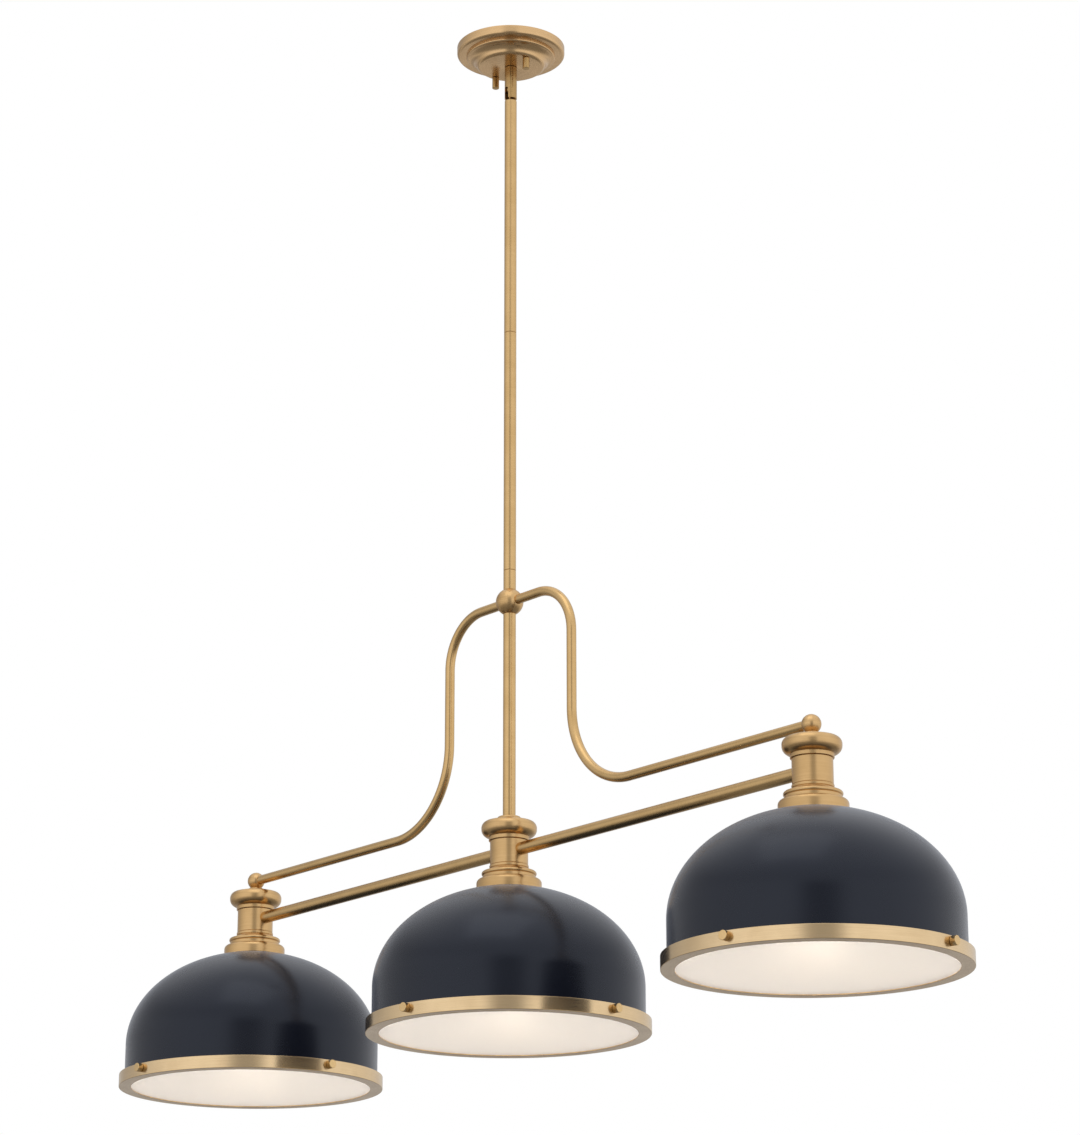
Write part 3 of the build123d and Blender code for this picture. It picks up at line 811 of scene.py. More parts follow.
class Workshop:
    """Makes pieces of the frame's nodes and keeps one material for each finish."""

    def __init__(self) -> None:
        """Read which material slot each node has."""
        self.materials: dict[str, bpy.types.Material] = {}
        self.slots = {row["node"]: row["material_slot"] for row in frame["record"]["subparts"]}

    def material(self, finish: Finish) -> bpy.types.Material:
        """Find a finish's material, built the first time that it is asked for.

        Args:
            finish: the finish.

        Returns:
            Its material.
        """
        if finish.name not in self.materials:
            self.materials[finish.name] = finish.material()
        return self.materials[finish.name]

    def piece(self, node: str, surface: Surface, finish: Finish, part: str = "skin") -> None:
        """Make a piece that stands for a node and moves with its body.

        Args:
            node: the node's name.
            surface: the piece's skin, in place.
            finish: what it is dressed in.
            part: last word of the piece's name.
        """
        name = f"{node}_{part}"
        piece = bpy.data.objects.new(name, surface.mesh(name))
        bpy.context.scene.collection.objects.link(piece)
        piece.data.materials.append(self.material(finish))
        body = frame["nodes"][node]["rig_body"]
        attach(piece, body)
        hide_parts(node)
        LOG.info("%s: %d points on %s, in %s", name, len(surface.points), body, finish.name)

    def dress(self, node: str, finish: Finish) -> None:
        """Give a node that stays as it is a finish.

        Args:
            node: the node's name.
            finish: what it is dressed in.
        """
        mesh = frame["nodes"][node].data
        mesh.materials.clear()
        mesh.materials.append(self.material(finish))
        LOG.info("%s: kept, in %s", node, finish.name)


def middle(node: str) -> np.ndarray:
    """Middle of a node's box, in millimetres."""
    low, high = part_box(node)
    return (np.array(low) + np.array(high)) / (2.0 * MM)


def foot(node: str) -> float:
    """Lowest height of a node, in millimetres."""
    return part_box(node)[0].z / MM


def head(node: str) -> float:
    """Highest height of a node, in millimetres."""
    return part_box(node)[1].z / MM


# Sub-assemblies

@dataclass
class CeilingMount:
    """Plate, studs, canopy and its two knobs."""

    shop: Workshop
    radius: float = 67.3
    sheet: float = 1.2
    rim_drop: float = 12.0
    rim_round: float = 4.0
    step_r: float = 55.4
    step_drop: float = 15.6
    step_round: float = 2.2
    cove_r: float = 10.6
    face_round: float = 5.0
    depth: float = 27.0
    bore_r: float = 4.3
    knob_r: float = 4.3
    knob_length: float = 14.4
    edge: float = 0.6

    def canopy(self) -> Surface:
        """Spun cup of even sheet: rim, ledge, rounded step, cove and flat face.

        The cove and the round of the face are circles that touch, so the angle where they meet follows
        from the drop between them: 1 - cos(angle) is the drop over the sum of their radii.

        Returns:
            The skin of the cup.
        """
        t, low = self.sheet, -self.rim_drop
        reach = self.cove_r + self.face_round
        meet = math.acos(1.0 - (self.depth - self.step_drop) / reach)
        sweep = math.degrees(meet)
        rim = (self.radius - self.rim_round, low + self.rim_round)
        step = (self.step_r - self.step_round, self.step_round - self.step_drop)
        cove = (step[0], -self.step_drop - self.cove_r)
        face = (cove[0] - reach * math.sin(meet), self.face_round - self.depth)
        section = Outline(self.radius, 0.0)
        section.round(rim, self.rim_round, 0.0, -90.0).to((self.step_r, low))
        section.round(step, self.step_round, 0.0, -90.0)
        section.round(cove, self.cove_r, 90.0, 90.0 + sweep)
        section.round(face, self.face_round, sweep - 90.0, -90.0)
        section.to((self.bore_r, -self.depth), (self.bore_r, t - self.depth))
        section.round(face, self.face_round - t, -90.0, sweep - 90.0)
        section.round(cove, self.cove_r + t, 90.0 + sweep, 90.0)
        section.round(step, self.step_round - t, -90.0, 0.0).to((self.step_r - t, low + t))
        section.round(rim, self.rim_round - t, -90.0, 0.0).to((self.radius - t, 0.0))
        return section.spun(self.edge, segments=224, closed=True)

    def knob(self, node: str) -> Surface:
        """Plain round knob with eased edges.

        Args:
            node: the knob's node, which gives its place.

        Returns:
            The skin of the knob.
        """
        x, y, _ = middle(node)
        r, length = self.knob_r, self.knob_length
        outline = Outline(0.0, 0.0).to((r, 0.0), (r, length), (0.0, length))
        return outline.spun(self.edge, segments=64).placed((x, y, foot(node)))

    def build(self) -> None:
        """Make the mount's pieces and dress the nodes that stay."""
        self.shop.piece("canopy", self.canopy(), CANOPY_BRASS)
        for node in sorted(node for node in self.shop.slots if node.startswith("canopy_knob")):
            self.shop.piece(node, self.knob(node), SWIVEL_BRASS)
        for node in ("mounting_plate", "plate_studs", "swivel_bolt", "swivel_nut"):
            self.shop.dress(node, STEEL)


@dataclass
class Swivel:
    """Collar, slotted sleeve and ball stud between the canopy and the stem."""

    shop: Workshop
    radius: float = 7.6
    bore_r: float = 5.8
    bolt_r: float = 4.06
    slot_width: float = 6.5
    slot_top: float = -55.2
    ball_r: float = 5.5
    ball_z: float = -57.0
    neck_r: float = 3.0
    edge: float = 0.35
    columns: int = 96

    def collar(self) -> Surface:
        """Ring that turns on the bolt, from the sleeve's head up.

        Returns:
            The skin of the collar.
        """
        low, high = head("swivel_sleeve"), head("swivel_collar")
        ring = Outline(self.bolt_r, low).to((self.radius, low), (self.radius, high), (self.bolt_r, high))
        return ring.spun(self.edge, self.columns, closed=True)

    def sleeve(self) -> Surface:
        """Tube wall with a slot of even width that ends in an arch.

        The wall's section is carried round the axis. Its foot stays level, but across the slot it
        follows a half circle, and where it jumps from one height to the other it forms the jambs. The
        angle of a jamb is the arc sine of half the slot over the radius, so inside it is larger.

        Returns:
            The skin of the sleeve.
        """
        low, high = foot("swivel_sleeve"), head("swivel_sleeve")
        half_width = self.slot_width / 2.0
        spring = self.slot_top - half_width
        r = np.array([self.radius] * 3 + [self.radius - self.edge] + [self.bore_r] * 3)[:, None]
        half = np.arcsin(half_width / r)
        across = np.linspace(-half_width, half_width, self.columns // 4)
        wall = half + (FULL_TURN - 2.0 * half) * np.linspace(0.0, 1.0, self.columns)
        angle = np.concatenate([wall, np.arcsin(across / r)], axis=1)
        rise = np.sqrt(np.clip(half_width**2 - across**2, 0.0, None))
        edge_z = np.concatenate([np.full(self.columns, low), spring + rise])
        spring_z = np.maximum(edge_z, spring)
        top_z = np.full(len(edge_z), high)
        heights = np.stack([edge_z, spring_z, top_z - self.edge, top_z, top_z, spring_z, edge_z])
        grid = np.stack([r * np.sin(angle), -r * np.cos(angle), heights], axis=-1)
        turns = np.concatenate([angle[0], angle[0, :1]]) / FULL_TURN
        lengths = np.concatenate([heights[:, 0], [low]]) * MM
        return Surface.from_grid(grid, turns, lengths, True)

    def stud(self) -> Surface:
        """Ball and neck, down to the plug in the stem.

        Returns:
            The skin of the stud.
        """
        low = foot("swivel_stud")
        waist_z = self.ball_z - math.sqrt(self.ball_r**2 - self.neck_r**2)
        outline = Outline(0.0, low).to((self.neck_r, low), (self.neck_r, waist_z))
        outline.arc((self.ball_r, self.ball_z), (0.0, self.ball_z + self.ball_r))
        return outline.spun(self.edge, segments=64)

    def build(self) -> None:
        """Make the swivel's pieces."""
        for part, skin in (("collar", self.collar()), ("sleeve", self.sleeve()), ("stud", self.stud())):
            self.shop.piece(f"swivel_{part}", skin, SWIVEL_BRASS)


@dataclass
class Stem:
    """Stem sections, ball hub and the rod down to the centre hub."""

    shop: Workshop
    radius: float = 7.5
    joint_edge: float = 0.45
    top_edge: float = 1.6
    rod_ease: float = 0.3
    ball_r: float = 16.5
    ball_flat: float = 14.5
    ball_ease: float = 0.4

    def rod(self, node: str, high_edge: float) -> Surface:
        """Round rod with chamfered ends.

        Args:
            node: the rod's node, which gives its ends.
            high_edge: chamfer at the head.

        Returns:
            The skin of the rod.
        """
        low, high, r, low_edge = foot(node), head(node), self.radius, self.joint_edge
        outline = Outline(0.0, low).to((r - low_edge, low), (r, low + low_edge))
        outline.to((r, high - high_edge), (r - high_edge, high), (0.0, high))
        return outline.spun(self.rod_ease, segments=96)

    def ball(self) -> Surface:
        """Ball with flats above and below: its radius at a height follows from the circle.

        Returns:
            The skin of the ball.
        """
        z = middle("ball_hub")[2]
        flat_r = math.sqrt(self.ball_r**2 - self.ball_flat**2)
        outline = Outline(0.0, -self.ball_flat).to((flat_r, -self.ball_flat))
        for top in (0.0, self.ball_flat):
            r = math.sqrt(self.ball_r**2 - top**2)
            mid_z = top - self.ball_flat / 2.0
            outline.arc((math.sqrt(self.ball_r**2 - mid_z**2), mid_z), (r, top))
        outline.to((0.0, self.ball_flat))
        return outline.spun(self.ball_ease, segments=128).placed((0.0, 0.0, z))

    def build(self) -> None:
        """Make the stem's pieces and dress the hidden nipples."""
        self.shop.piece("stem_upper", self.rod("stem_upper", self.top_edge), TUBE_BRASS)
        for node in ("stem_lower", "stem_short", "centre_rod"):
            self.shop.piece(node, self.rod(node, self.joint_edge), TUBE_BRASS)
        self.shop.piece("ball_hub", self.ball(), CAST_BRASS)
        self.shop.dress("stem_nipples", STEEL)


@dataclass
class Sided:
    """Sub-assembly that belongs to one of the shades."""

    shop: Workshop
    side: Side

    def node(self, part: str) -> str:
        """Name of a part's node on this side."""
        return f"{part}_{self.side.value}"

    def place(self) -> Place:
        """The shade's axis, at the lower face of its band."""
        band = self.node("band")
        return middle(band)[0], 0.0, foot(band)


@dataclass
class Arm(Sided):
    """Bent tube from the ball hub to a finial, and the finial."""

    radius: float = 5.75
    fall_x: float = 113.5
    top_bend: float = 60.0
    low_bend: float = 100.0
    bend_steps: int = 40
    finial_r: float = 10.8
    finial_rise: float = 263.3
    finial_ease: float = 0.4
    neck_r: float = 6.4
    neck_flare: float = 0.6
    button_r: float = 9.6
    button_foot: float = 251.6
    button_t: float = 2.6
    button_crown: Point = (0.6, -0.7)

    def path(self) -> np.ndarray:
        """Level run, quarter turn down, fall, quarter turn out and level run to the finial.

        Returns:
            Points of the tube's axis.
        """
        low, high = (np.array(corner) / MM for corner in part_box(self.node("arm")))
        start, end = sorted(abs(np.array([low[0], high[0]])))
        top_z, low_z = high[2] - self.radius, low[2] + self.radius
        turn = np.linspace(0.0, 0.5 * np.pi, self.bend_steps)
        above = np.column_stack([
            self.fall_x - self.top_bend + self.top_bend * np.sin(turn),
            top_z - self.top_bend + self.top_bend * np.cos(turn),
        ])
        below = np.column_stack([
            self.fall_x + self.low_bend - self.low_bend * np.cos(turn),
            low_z + self.low_bend - self.low_bend * np.sin(turn),
        ])
        way = np.concatenate([[[start, top_z]], above, below, [[end, low_z]]])
        sign = -1.0 if self.side is Side.LEFT else 1.0
        return np.column_stack([sign * way[:, 0], np.zeros(len(way)), way[:, 1]])

    def finial(self) -> Surface:
        """Ball on a button, with a short neck between them.

        Returns:
            The skin of the finial.
        """
        joint = self.finial_rise - math.sqrt(self.finial_r**2 - self.neck_r**2)
        button = self.button_foot + self.button_t
        outline = Outline(0.0, self.button_foot).to((self.button_r, self.button_foot))
        crown = stepped((self.button_r, button), self.button_crown)
        outline.arc(crown, (self.neck_r + self.neck_flare, button)).to((self.neck_r, joint))
        outline.arc((self.finial_r, self.finial_rise), (0.0, self.finial_rise + self.finial_r))
        return outline.spun(self.finial_ease, segments=112).placed(self.place())

    def build(self) -> None:
        """Make the arm and its finial."""
        skin = tube(self.path(), self.radius, segments=64)
        self.shop.piece(self.node("arm"), skin, TUBE_BRASS)
        self.shop.piece(self.node("finial"), self.finial(), CAST_BRASS)


@dataclass
class Bar(Sided):
    """Straight tube between the centre hub and an outer one."""

    radius: float = 7.5
    steps: int = 24

    def build(self) -> None:
        """Make the bar."""
        node = self.node("bar")
        low, high = (np.array(corner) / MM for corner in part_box(node))
        x = np.linspace(low[0], high[0], self.steps)
        path = np.column_stack([x, np.zeros(self.steps), np.full(self.steps, middle(node)[2])])
        self.shop.piece(node, tube(path, self.radius, segments=80), TUBE_BRASS)


@dataclass
class Hub(Sided):
    """Turned casting on a shade: base, body and mushroom cap.

    A point of the profile is given as how far in it lies from a radius and how far up from a face.
    """

    base_foot: float = 166.6
    flange_r: float = 38.0
    flange_wall: float = 8.6
    crown_middle: Point = (1.2, 11.6)
    crown_end: Point = (4.2, 13.4)
    bead_r: float = 32.0
    collar_foot: Point = (1.4, 14.0)
    collar_top: Point = (1.4, 17.6)
    bead_middle: Point = (0.0, 20.2)
    bead_end: Point = (1.4, 22.4)
    cove_middle: Point = (7.6, 24.0)
    ring_r: float = 22.9
    cove_end: Point = (0.6, 26.4)
    ring_foot: float = 26.8
    body_foot: float = 196.5
    body_head: float = 225.4
    body_r: float = 22.2
    groove: float = 0.5
    neck_r: float = 23.8
    neck_t: float = 4.6
    neck_flare: Point = (-1.4, 4.9)
    cap_r: float = 32.4
    under_middle: Point = (1.9, 8.2)
    under_end: Point = (0.0, 14.4)
    cap_top: float = 251.6
    over_middle: Point = (1.1, -6.6)
    shoulder_r: float = 28.0
    shoulder_dip: float = 3.6
    disc_r: float = 14.0
    disc_t: float = 2.9
    disc_middle: Point = (0.3, 1.8)
    disc_edge: float = 2.2
    edge: float = 0.4

    def base(self) -> Outline:
        """Flange, fillet ring, bead and cove up to the body.

        Returns:
            The outline of the base.
        """
        z, groove = self.base_foot, self.groove
        flange, bead, ring = (self.flange_r, z), (self.bead_r, z), (self.ring_r, z)
        outline = Outline(0.0, z).to(flange, (self.flange_r, z + self.flange_wall))
        outline.arc(stepped(flange, self.crown_middle), stepped(flange, self.crown_end))
        outline.to(stepped(bead, self.collar_foot), stepped(bead, self.collar_top))
        outline.arc(stepped(bead, self.bead_middle), stepped(bead, self.bead_end))
        outline.arc(stepped(bead, self.cove_middle), stepped(ring, self.cove_end))
        outline.to((self.ring_r, z + self.ring_foot), (self.ring_r, self.body_foot - groove))
        return outline.to((self.ring_r - groove, self.body_foot), (0.0, self.body_foot))

    def body(self) -> Outline:
        """Cylinder with a fine chamfer at each end.

        Returns:
            The outline of the body.
        """
        low, high, r, edge = self.body_foot, self.body_head, self.body_r, self.groove
        outline = Outline(0.0, low).to((r - edge, low), (r, low + edge))
        return outline.to((r, high - edge), (r - edge, high), (0.0, high))

    def cap(self) -> Outline:
        """Neck ring and mushroom cap, with a low disc round the rod on the centre one.

        Returns:
            The outline of the cap.
        """
        z, top, neck, groove = self.body_head, self.cap_top, self.neck_r, self.groove
        under, over, disc = (self.cap_r, z), (self.cap_r, top), (self.disc_r, top)
        outline = Outline(0.0, z).to((neck - groove, z), (neck, z + groove))
        outline.to((neck, z + self.neck_t), stepped((neck, z), self.neck_flare))
        outline.arc(stepped(under, self.under_middle), stepped(under, self.under_end))
        outline.arc(stepped(over, self.over_middle), (self.shoulder_r, top - self.shoulder_dip))
        outline.to(disc)
        if self.side is Side.CENTRE:
            outline.arc(stepped(disc, self.disc_middle), stepped(disc, (self.disc_edge, self.disc_t)))
            top += self.disc_t
        return outline.to((0.0, top))

    def build(self) -> None:
        """Make the three castings."""
        for part, outline in (("base", self.base()), ("body", self.body()), ("cap", self.cap())):
            skin = outline.spun(self.edge, segments=176).placed(self.place())
            self.shop.piece(self.node(f"hub_{part}"), skin, CAST_BRASS)


@dataclass
class Shade(Sided):
    """Spun shade with its lamp holder and bulb."""

    radius: float = 157.2
    sheet: float = 1.2
    rim: float = 5.0
    wall_top: float = 53.0
    crown: float = 117.0
    crown_steps: int = 72
    flat: float = 166.6
    hole_r: float = 4.3
    edge: float = 0.4
    paint: Colour = (0.0048, 0.0062, 0.0130)
    lining: Colour = (0.78, 0.76, 0.72)
    paint_roughness: float = 0.26
    holder_top: float = 156.0
    holder_mouth: float = 106.0
    holder_depth: float = 34.0
    holder_r: float = 20.5
    holder_neck_r: float = 14.0
    holder_neck_t: float = 7.0
    shoulder_drop: float = 12.0
    skirt_t: float = 2.0
    skirt_wall: float = 11.0
    skirt_top: float = 12.0
    holder_edge: float = 0.6
    bulb_base_r: float = 13.0
    bulb_gap: float = 0.06
    bulb_tip: float = 138.0
    bulb_waist: float = 2.0
    bulb_edge: float = 0.5
    contact_in: float = 8.0
    contact_t: float = 2.0
    insulator_t: float = 7.0
    neck_in: float = 0.5
    neck_drop: float = 1.0
    globe_r: float = 30.0
    globe_rise: float = 66.0
    globe_shoulder: Point = (6.5, 18.0)

    def spinning(self) -> tuple[Surface, float]:
        """Dome of two skins: straight wall, elliptical crown and a flat under the hub.

        Returns:
            The skin of the dome, and how far along its outline the inner side begins, in metres.
        """
        section = Outline(self.radius, self.rim)
        for inset in (0.0, self.sheet):
            r, crown = self.radius - inset, self.crown - inset
            last = math.asin((self.flat - inset - self.wall_top) / crown)
            ends = (last, 0.0) if inset else (0.0, last)
            if inset:
                section.to((self.hole_r, self.flat), (self.hole_r, self.flat - self.sheet))
            section.ellipse((0.0, self.wall_top), (r, crown), *ends, self.crown_steps)
        section.to((self.radius - self.sheet, self.rim))
        outline = section.eased(self.edge, closed=True)
        along = lengths_along(outline, closed=True)
        inner = along[np.argmin(np.hypot(outline[:, 0] - self.hole_r, outline[:, 1] - self.flat))]
        return turned(outline, segments=288, closed=True), float(inner)

    def holder(self) -> Surface:
        """Lamp holder: neck, shoulder, body and a skirt round the mouth.

        Returns:
            The skin of the holder.
        """
        top, mouth, r, neck = self.holder_top, self.holder_mouth, self.holder_r, self.holder_neck_r
        bore, body, deep = self.bulb_base_r + self.bulb_gap, r - self.skirt_t, mouth + self.holder_depth
        section = Outline(self.hole_r, top).to((neck, top), (neck, top - self.holder_neck_t))
        section.to((body, top - self.shoulder_drop), (body, mouth + self.skirt_top))
        section.to((r, mouth + self.skirt_wall), (r, mouth), (bore, mouth), (bore, deep))
        section.to((self.hole_r, deep))
        return section.spun(self.holder_edge, segments=96, closed=True)

    def globe(self) -> Surface:
        """Bulb glass: neck, shoulder and a round globe.

        Returns:
            The skin of the glass.
        """
        neck, waist = self.bulb_base_r - self.neck_in, self.holder_mouth + self.bulb_waist
        side, widest = self.globe_r * math.sqrt(0.5), (self.globe_r, self.globe_rise)
        outline = Outline(0.0, waist).to((neck, waist), (neck, self.holder_mouth - self.neck_drop))
        outline.arc(stepped(widest, self.globe_shoulder), widest)
        outline.arc((side, self.globe_rise - side), (0.0, self.globe_rise - self.globe_r))
        return outline.spun(self.bulb_edge, segments=96)

    def screw_base(self) -> Surface:
        """Bulb's metal base, stepped in to the contact.

        Returns:
            The skin of the base.
        """
        r, tip, waist = self.bulb_base_r, self.bulb_tip, self.holder_mouth + self.bulb_waist
        contact = r - self.contact_in
        outline = Outline(0.0, waist).to((r, waist), (r, tip - self.insulator_t))
        outline.to((contact, tip - self.contact_t), (contact, tip), (0.0, tip))
        return outline.spun(self.bulb_edge, segments=72)

    def build(self) -> None:
        """Make the shade, the holder and the bulb."""
        place = self.place()
        dome, inner = self.spinning()
        paint = SatinPaint("shade_paint", self.paint, self.lining, inner, self.paint_roughness)
        self.shop.piece(self.node("shade"), dome.placed(place), paint)
        self.shop.piece(self.node("socket"), self.holder().placed(place), HOLDER)
        self.shop.piece(self.node("bulb"), self.globe().placed(place), BULB_GLASS, "globe")
        self.shop.piece(self.node("bulb"), self.screw_base().placed(place), BULB_BASE, "base")


@dataclass
class Band(Sided):
    """Band round a shade's rim, with its opal disc and four thumb screws."""

    radius: float = 164.0
    wall: float = 1.4
    height: float = 15.4
    ledge_r: float = 148.6
    ledge_t: float = 1.3
    edge: float = 0.7
    disc_r: float = 162.1
    disc_t: float = 3.0
    disc_edge: float = 0.5
    screw_rise: float = 9.6
    screw_r: float = 2.0
    screw_gap: float = 0.06
    screw_edge: float = 0.5
    head_r: float = 5.2
    head_foot: float = 164.3
    head_end: float = 171.0
    tip: float = 157.55
    boss_r: float = 4.6
    boss_t: float = 2.2
    boss_edge: float = 0.3
    screws: int = 4

    def first_screw(self) -> float:
        """Read the angle of the first thumb screw from X off its joint.

        Returns:
            The angle, in degrees.
        """
        name = f"{self.node('thumbscrew')}_1_turn"
        x, y, _ = next(joint["axis"] for joint in frame["joints"] if joint["name"] == name)
        return math.degrees(math.atan2(y, x))

    def ring(self) -> Surface:
        """Wall with a ledge inside, and a boss behind each thumb screw.

        Returns:
            The skins of the band.
        """
        inside = self.radius - self.wall
        section = Outline(self.ledge_r, 0.0).to((self.radius, 0.0), (self.radius, self.height))
        section.to((inside, self.height), (inside, self.ledge_t), (self.ledge_r, self.ledge_t))
        wall = section.spun(self.edge, segments=320, closed=True)
        return wall.joined(*(self.boss(index) for index in range(self.screws)))

    def boss(self, index: int) -> Surface:
        """Threaded boss behind a thumb screw.

        Args:
            index: number of the screw, from 0.

        Returns:
            The skin of the boss.
        """
        inside = self.radius - self.wall
        low, high = inside - self.boss_t, inside + self.wall / 2.0
        bore = self.screw_r + self.screw_gap
        ring = Outline(bore, low).to((self.boss_r, low), (self.boss_r, high), (bore, high))
        return self.at_screw(ring.spun(self.boss_edge, segments=40, closed=True), index)

    def at_screw(self, skin: Surface, index: int) -> Surface:
        """Lay a piece that was made about Z on a thumb screw's axis."""
        turn = outward_turn(self.first_screw() + 360.0 / self.screws * index)
        return skin.placed((0.0, 0.0, self.screw_rise), turn)

    def screw(self, index: int) -> Surface:
        """Thumb screw with a plain round head.

        Args:
            index: number of the screw, from 0.

        Returns:
            The skin of the screw.
        """
        outline = Outline(0.0, self.tip).to((self.screw_r, self.tip), (self.screw_r, self.head_foot))
        outline.to((self.head_r, self.head_foot), (self.head_r, self.head_end), (0.0, self.head_end))
        return self.at_screw(outline.spun(self.screw_edge, segments=64), index)

    def disc(self) -> Surface:
        """Opal disc on the ledge, from the middle of its lower face outwards.

        Returns:
            The skin of the disc.
        """
        low, high = self.ledge_t, self.ledge_t + self.disc_t
        outline = Outline(0.0, low).to((self.disc_r, low), (self.disc_r, high), (0.0, high))
        return outline.spun(self.disc_edge, segments=256)

    def build(self) -> None:
        """Make the band, the disc and the screws."""
        place = self.place()
        self.shop.piece(self.node("band"), self.ring().placed(place), BAND_BRASS)
        self.shop.piece(self.node("diffuser"), self.disc().placed(place), OPAL)
        for index in range(self.screws):
            node = f"{self.node('thumbscrew')}_{index + 1}"
            self.shop.piece(node, self.screw(index).placed(place), SCREW_BRASS)


# Studio

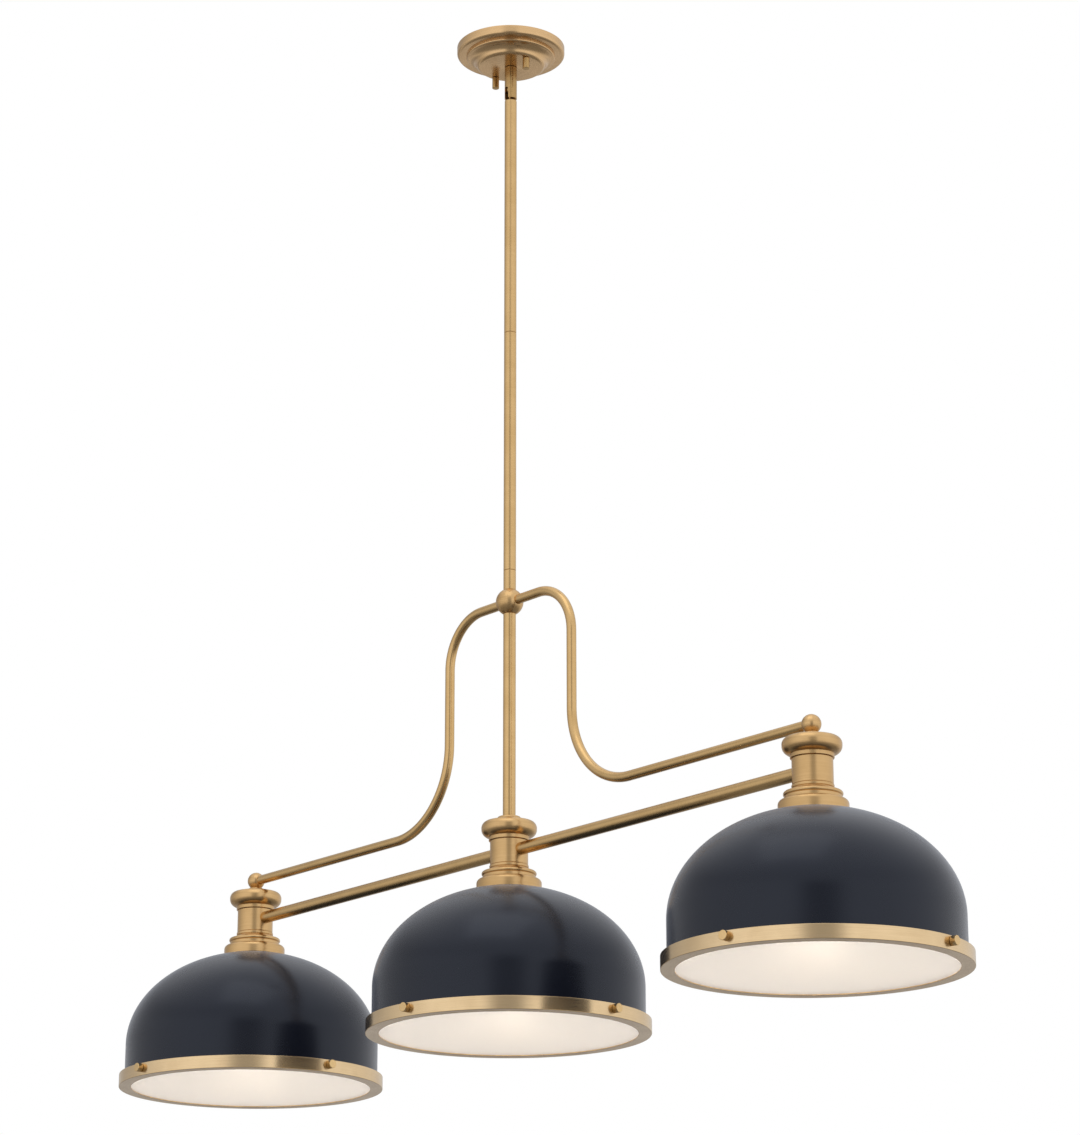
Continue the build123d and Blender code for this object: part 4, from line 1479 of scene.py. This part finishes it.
@dataclass
class Studio:
    """Camera, surroundings, floor and one large soft lamp, in metres and degrees."""

    yaw: float = 49.902
    pitch: float = 18.809
    roll: float = -0.150
    focal_px: float = 3556.3
    centre_px: Point = (560.0, 470.3)
    image_px: Point = (1080.0, 1135.0)
    sensor_mm: float = 36.0
    stand: Place = (3.1440, -2.5684, -1.9428)
    floor_z: float = -2.25
    floor_r: float = 6.0
    floor_segments: int = 96
    floor_fades: Point = (0.35, 0.95)
    floor_colour: Colour = (0.83, 0.82, 0.81)
    floor_dim: Colour = (0.203, 0.200, 0.197)
    floor_mirrored: float = 0.08
    floor_roughness: float = 0.9
    surround: float = 1.04
    surround_blue: float = 1.015
    least_level: float = 1e-6
    back_dim: float = 0.48
    left_dim: float = 0.24
    low_more: float = 0.25
    upper_dim: float = 0.24
    upper_left: float = 0.04
    below_light: float = 0.46
    dark_spread: float = 21.0
    dark_share: float = 0.70
    mirrored: float = 0.25
    lamp_size: float = 2.2
    lamp_power: float = 8.0
    lamp_place: Place = (0.7, -1.1, 1.9)
    lamp_aim: Place = (0.0, 0.0, -1.0)

    def camera(self) -> None:
        """Stand the camera where the photograph was taken from, looking up at the light."""
        data = bpy.data.cameras.new("photograph")
        camera = bpy.data.objects.new("photograph", data)
        bpy.context.scene.collection.objects.link(camera)
        yaw, pitch, roll = (math.radians(a) for a in (self.yaw, self.pitch, self.roll))
        level = np.array([math.cos(yaw), math.sin(yaw), 0.0])
        reach = math.cos(pitch)
        forward = np.array([-math.sin(yaw) * reach, math.cos(yaw) * reach, math.sin(pitch)])
        upright = np.cross(level, forward)
        right = math.cos(roll) * level + math.sin(roll) * upright
        up = math.cos(roll) * upright - math.sin(roll) * level
        matrix = np.eye(4)
        matrix[:3, :3] = np.column_stack([right, up, -forward])
        matrix[:3, 3] = self.stand
        camera.matrix_world = Matrix(matrix.tolist())
        long_side = max(self.image_px)
        data.sensor_width = self.sensor_mm
        data.lens = self.focal_px / long_side * self.sensor_mm
        data.shift_x = (self.image_px[0] / 2.0 - self.centre_px[0]) / long_side
        data.shift_y = (self.centre_px[1] - self.image_px[1] / 2.0) / long_side
        bpy.context.scene.camera = camera

    def surroundings(self) -> None:
        """Pale surroundings, white to the camera, with a darker gap behind it.

        The gap is a smooth step in the cosine of the level angle from the direction of the stand, and
        it closes upwards. The light falls off from the camera's side to the far side by the same cosine,
        more on the left and just below the horizon. It is a little lower above the horizon, and falls
        off smoothly towards the floor. Glass shows the white backdrop as the camera does, and metal shows
        a share of it that follows the light.
        """
        world = bpy.data.worlds.new("studio")
        bpy.context.scene.world = world
        bench = Bench(world)
        x, y, z = bench.split(bench.add("ShaderNodeTexCoord", None, None, "Generated"))
        yaw = math.radians(self.yaw)
        level = (x * x + y * y + self.least_level).root()
        facing = (x * math.sin(yaw) - y * math.cos(yaw)) / level
        beside = (x * math.cos(yaw) + y * math.sin(yaw)) / level
        narrow = facing.eased(math.cos(math.radians(self.dark_spread)), 1.0)
        gap = narrow * (1.0 - z.eased(low=0.30, high=0.46))
        dim = (1.0 - facing.eased(low=-1.05, high=0.75)) * (self.back_dim - beside * self.left_dim)
        low = 1.0 + (1.0 - z.eased(low=-0.12, high=0.04)) * self.low_more
        back = 1.0 - dim * low * z.eased(low=-0.50, high=-0.22)
        above = z.eased(low=0.45, high=0.95)
        upper_dim = self.upper_dim - beside * self.upper_left
        upper = z.eased(low=0.28, high=0.55) * (1.0 - above) * upper_dim
        below = z.eased(low=-0.70, high=-0.04) * (1.0 - self.below_light) + self.below_light
        sides = back * (1.0 - upper) * (1.0 - above) + above
        light = (1.0 - gap * self.dark_share) * sides * below * self.surround
        colour = bench.join(light, light, light * self.surround_blue)
        backdrop = bench.mix(bench.seen(light * self.mirrored), colour, (1.0, 1.0, 1.0))
        shader = bench.add("ShaderNodeBackground", None, {"Color": backdrop, "Strength": 1.0})
        bench.add("ShaderNodeOutputWorld", None, {"Surface": shader})

    def floor(self) -> None:
        """Round pale floor under the light, that fades out, is clear from below and lights little.

        Its grid has two rows, the middle and the rim: x = r cos a, y = r sin a.
        """
        turns = np.linspace(0.0, 1.0, self.floor_segments + 1)
        angle = -FULL_TURN * turns[:-1]
        r = np.array([[0.0], [self.floor_r / MM]])
        grid = np.stack([r * np.cos(angle), r * np.sin(angle), 0.0 * r * angle], axis=-1)
        skin = Surface.from_grid(grid, turns, r[:, 0] * MM, False)
        floor = bpy.data.objects.new("floor", skin.placed((0.0, 0.0, self.floor_z / MM)).mesh("floor"))
        bpy.context.scene.collection.objects.link(floor)
        material = bpy.data.materials.new("floor_paper")
        bench = Bench(material)
        x, y, _ = bench.split(bench.place())
        below = bench.add("ShaderNodeNewGeometry", None, None, "Backfacing")
        fades = (share * self.floor_r for share in self.floor_fades)
        clear = (x * x + y * y).root().eased(*fades).most(below)
        colour = bench.mix(bench.seen(self.floor_mirrored), self.floor_dim, self.floor_colour)
        values = {"Base Color": colour, "Roughness": self.floor_roughness}
        paper = bench.add("ShaderNodeBsdfPrincipled", None, values)
        through = bench.add("ShaderNodeBsdfTransparent")
        shader = bench.add("ShaderNodeMixShader", None, {0: clear, 1: paper, 2: through})
        bench.add("ShaderNodeOutputMaterial", None, {"Surface": shader})
        floor.data.materials.append(material)

    def lamp(self) -> None:
        """One large soft lamp above, on the camera's side."""
        data = bpy.data.lights.new("softbox", "AREA")
        data.size = self.lamp_size
        data.energy = self.lamp_power
        lamp = bpy.data.objects.new("softbox", data)
        bpy.context.scene.collection.objects.link(lamp)
        lamp.location = self.lamp_place
        aim = Vector(self.lamp_aim) - lamp.location
        lamp.rotation_euler = aim.to_track_quat("-Z", "Y").to_euler()

    def build(self) -> None:
        """Set the studio up."""
        bpy.context.scene.view_settings.view_transform = "Standard"
        self.camera()
        self.surroundings()
        self.floor()
        self.lamp()
        LOG.info("studio: camera, surroundings, floor and lamp")


def main() -> None:
    """Build the light from the ceiling down, then the studio round it."""
    logging.basicConfig(level=logging.INFO, format="%(message)s")
    shop = Workshop()
    CeilingMount(shop).build()
    Swivel(shop).build()
    Stem(shop).build()
    for side in (Side.LEFT, Side.RIGHT):
        Arm(shop, side).build()
        Bar(shop, side).build()
    for side in Side:
        Hub(shop, side).build()
        Shade(shop, side).build()
        Band(shop, side).build()
    shop.dress("hub_bolts", STEEL)
    Studio().build()


if __name__ == "__main__":
    main()
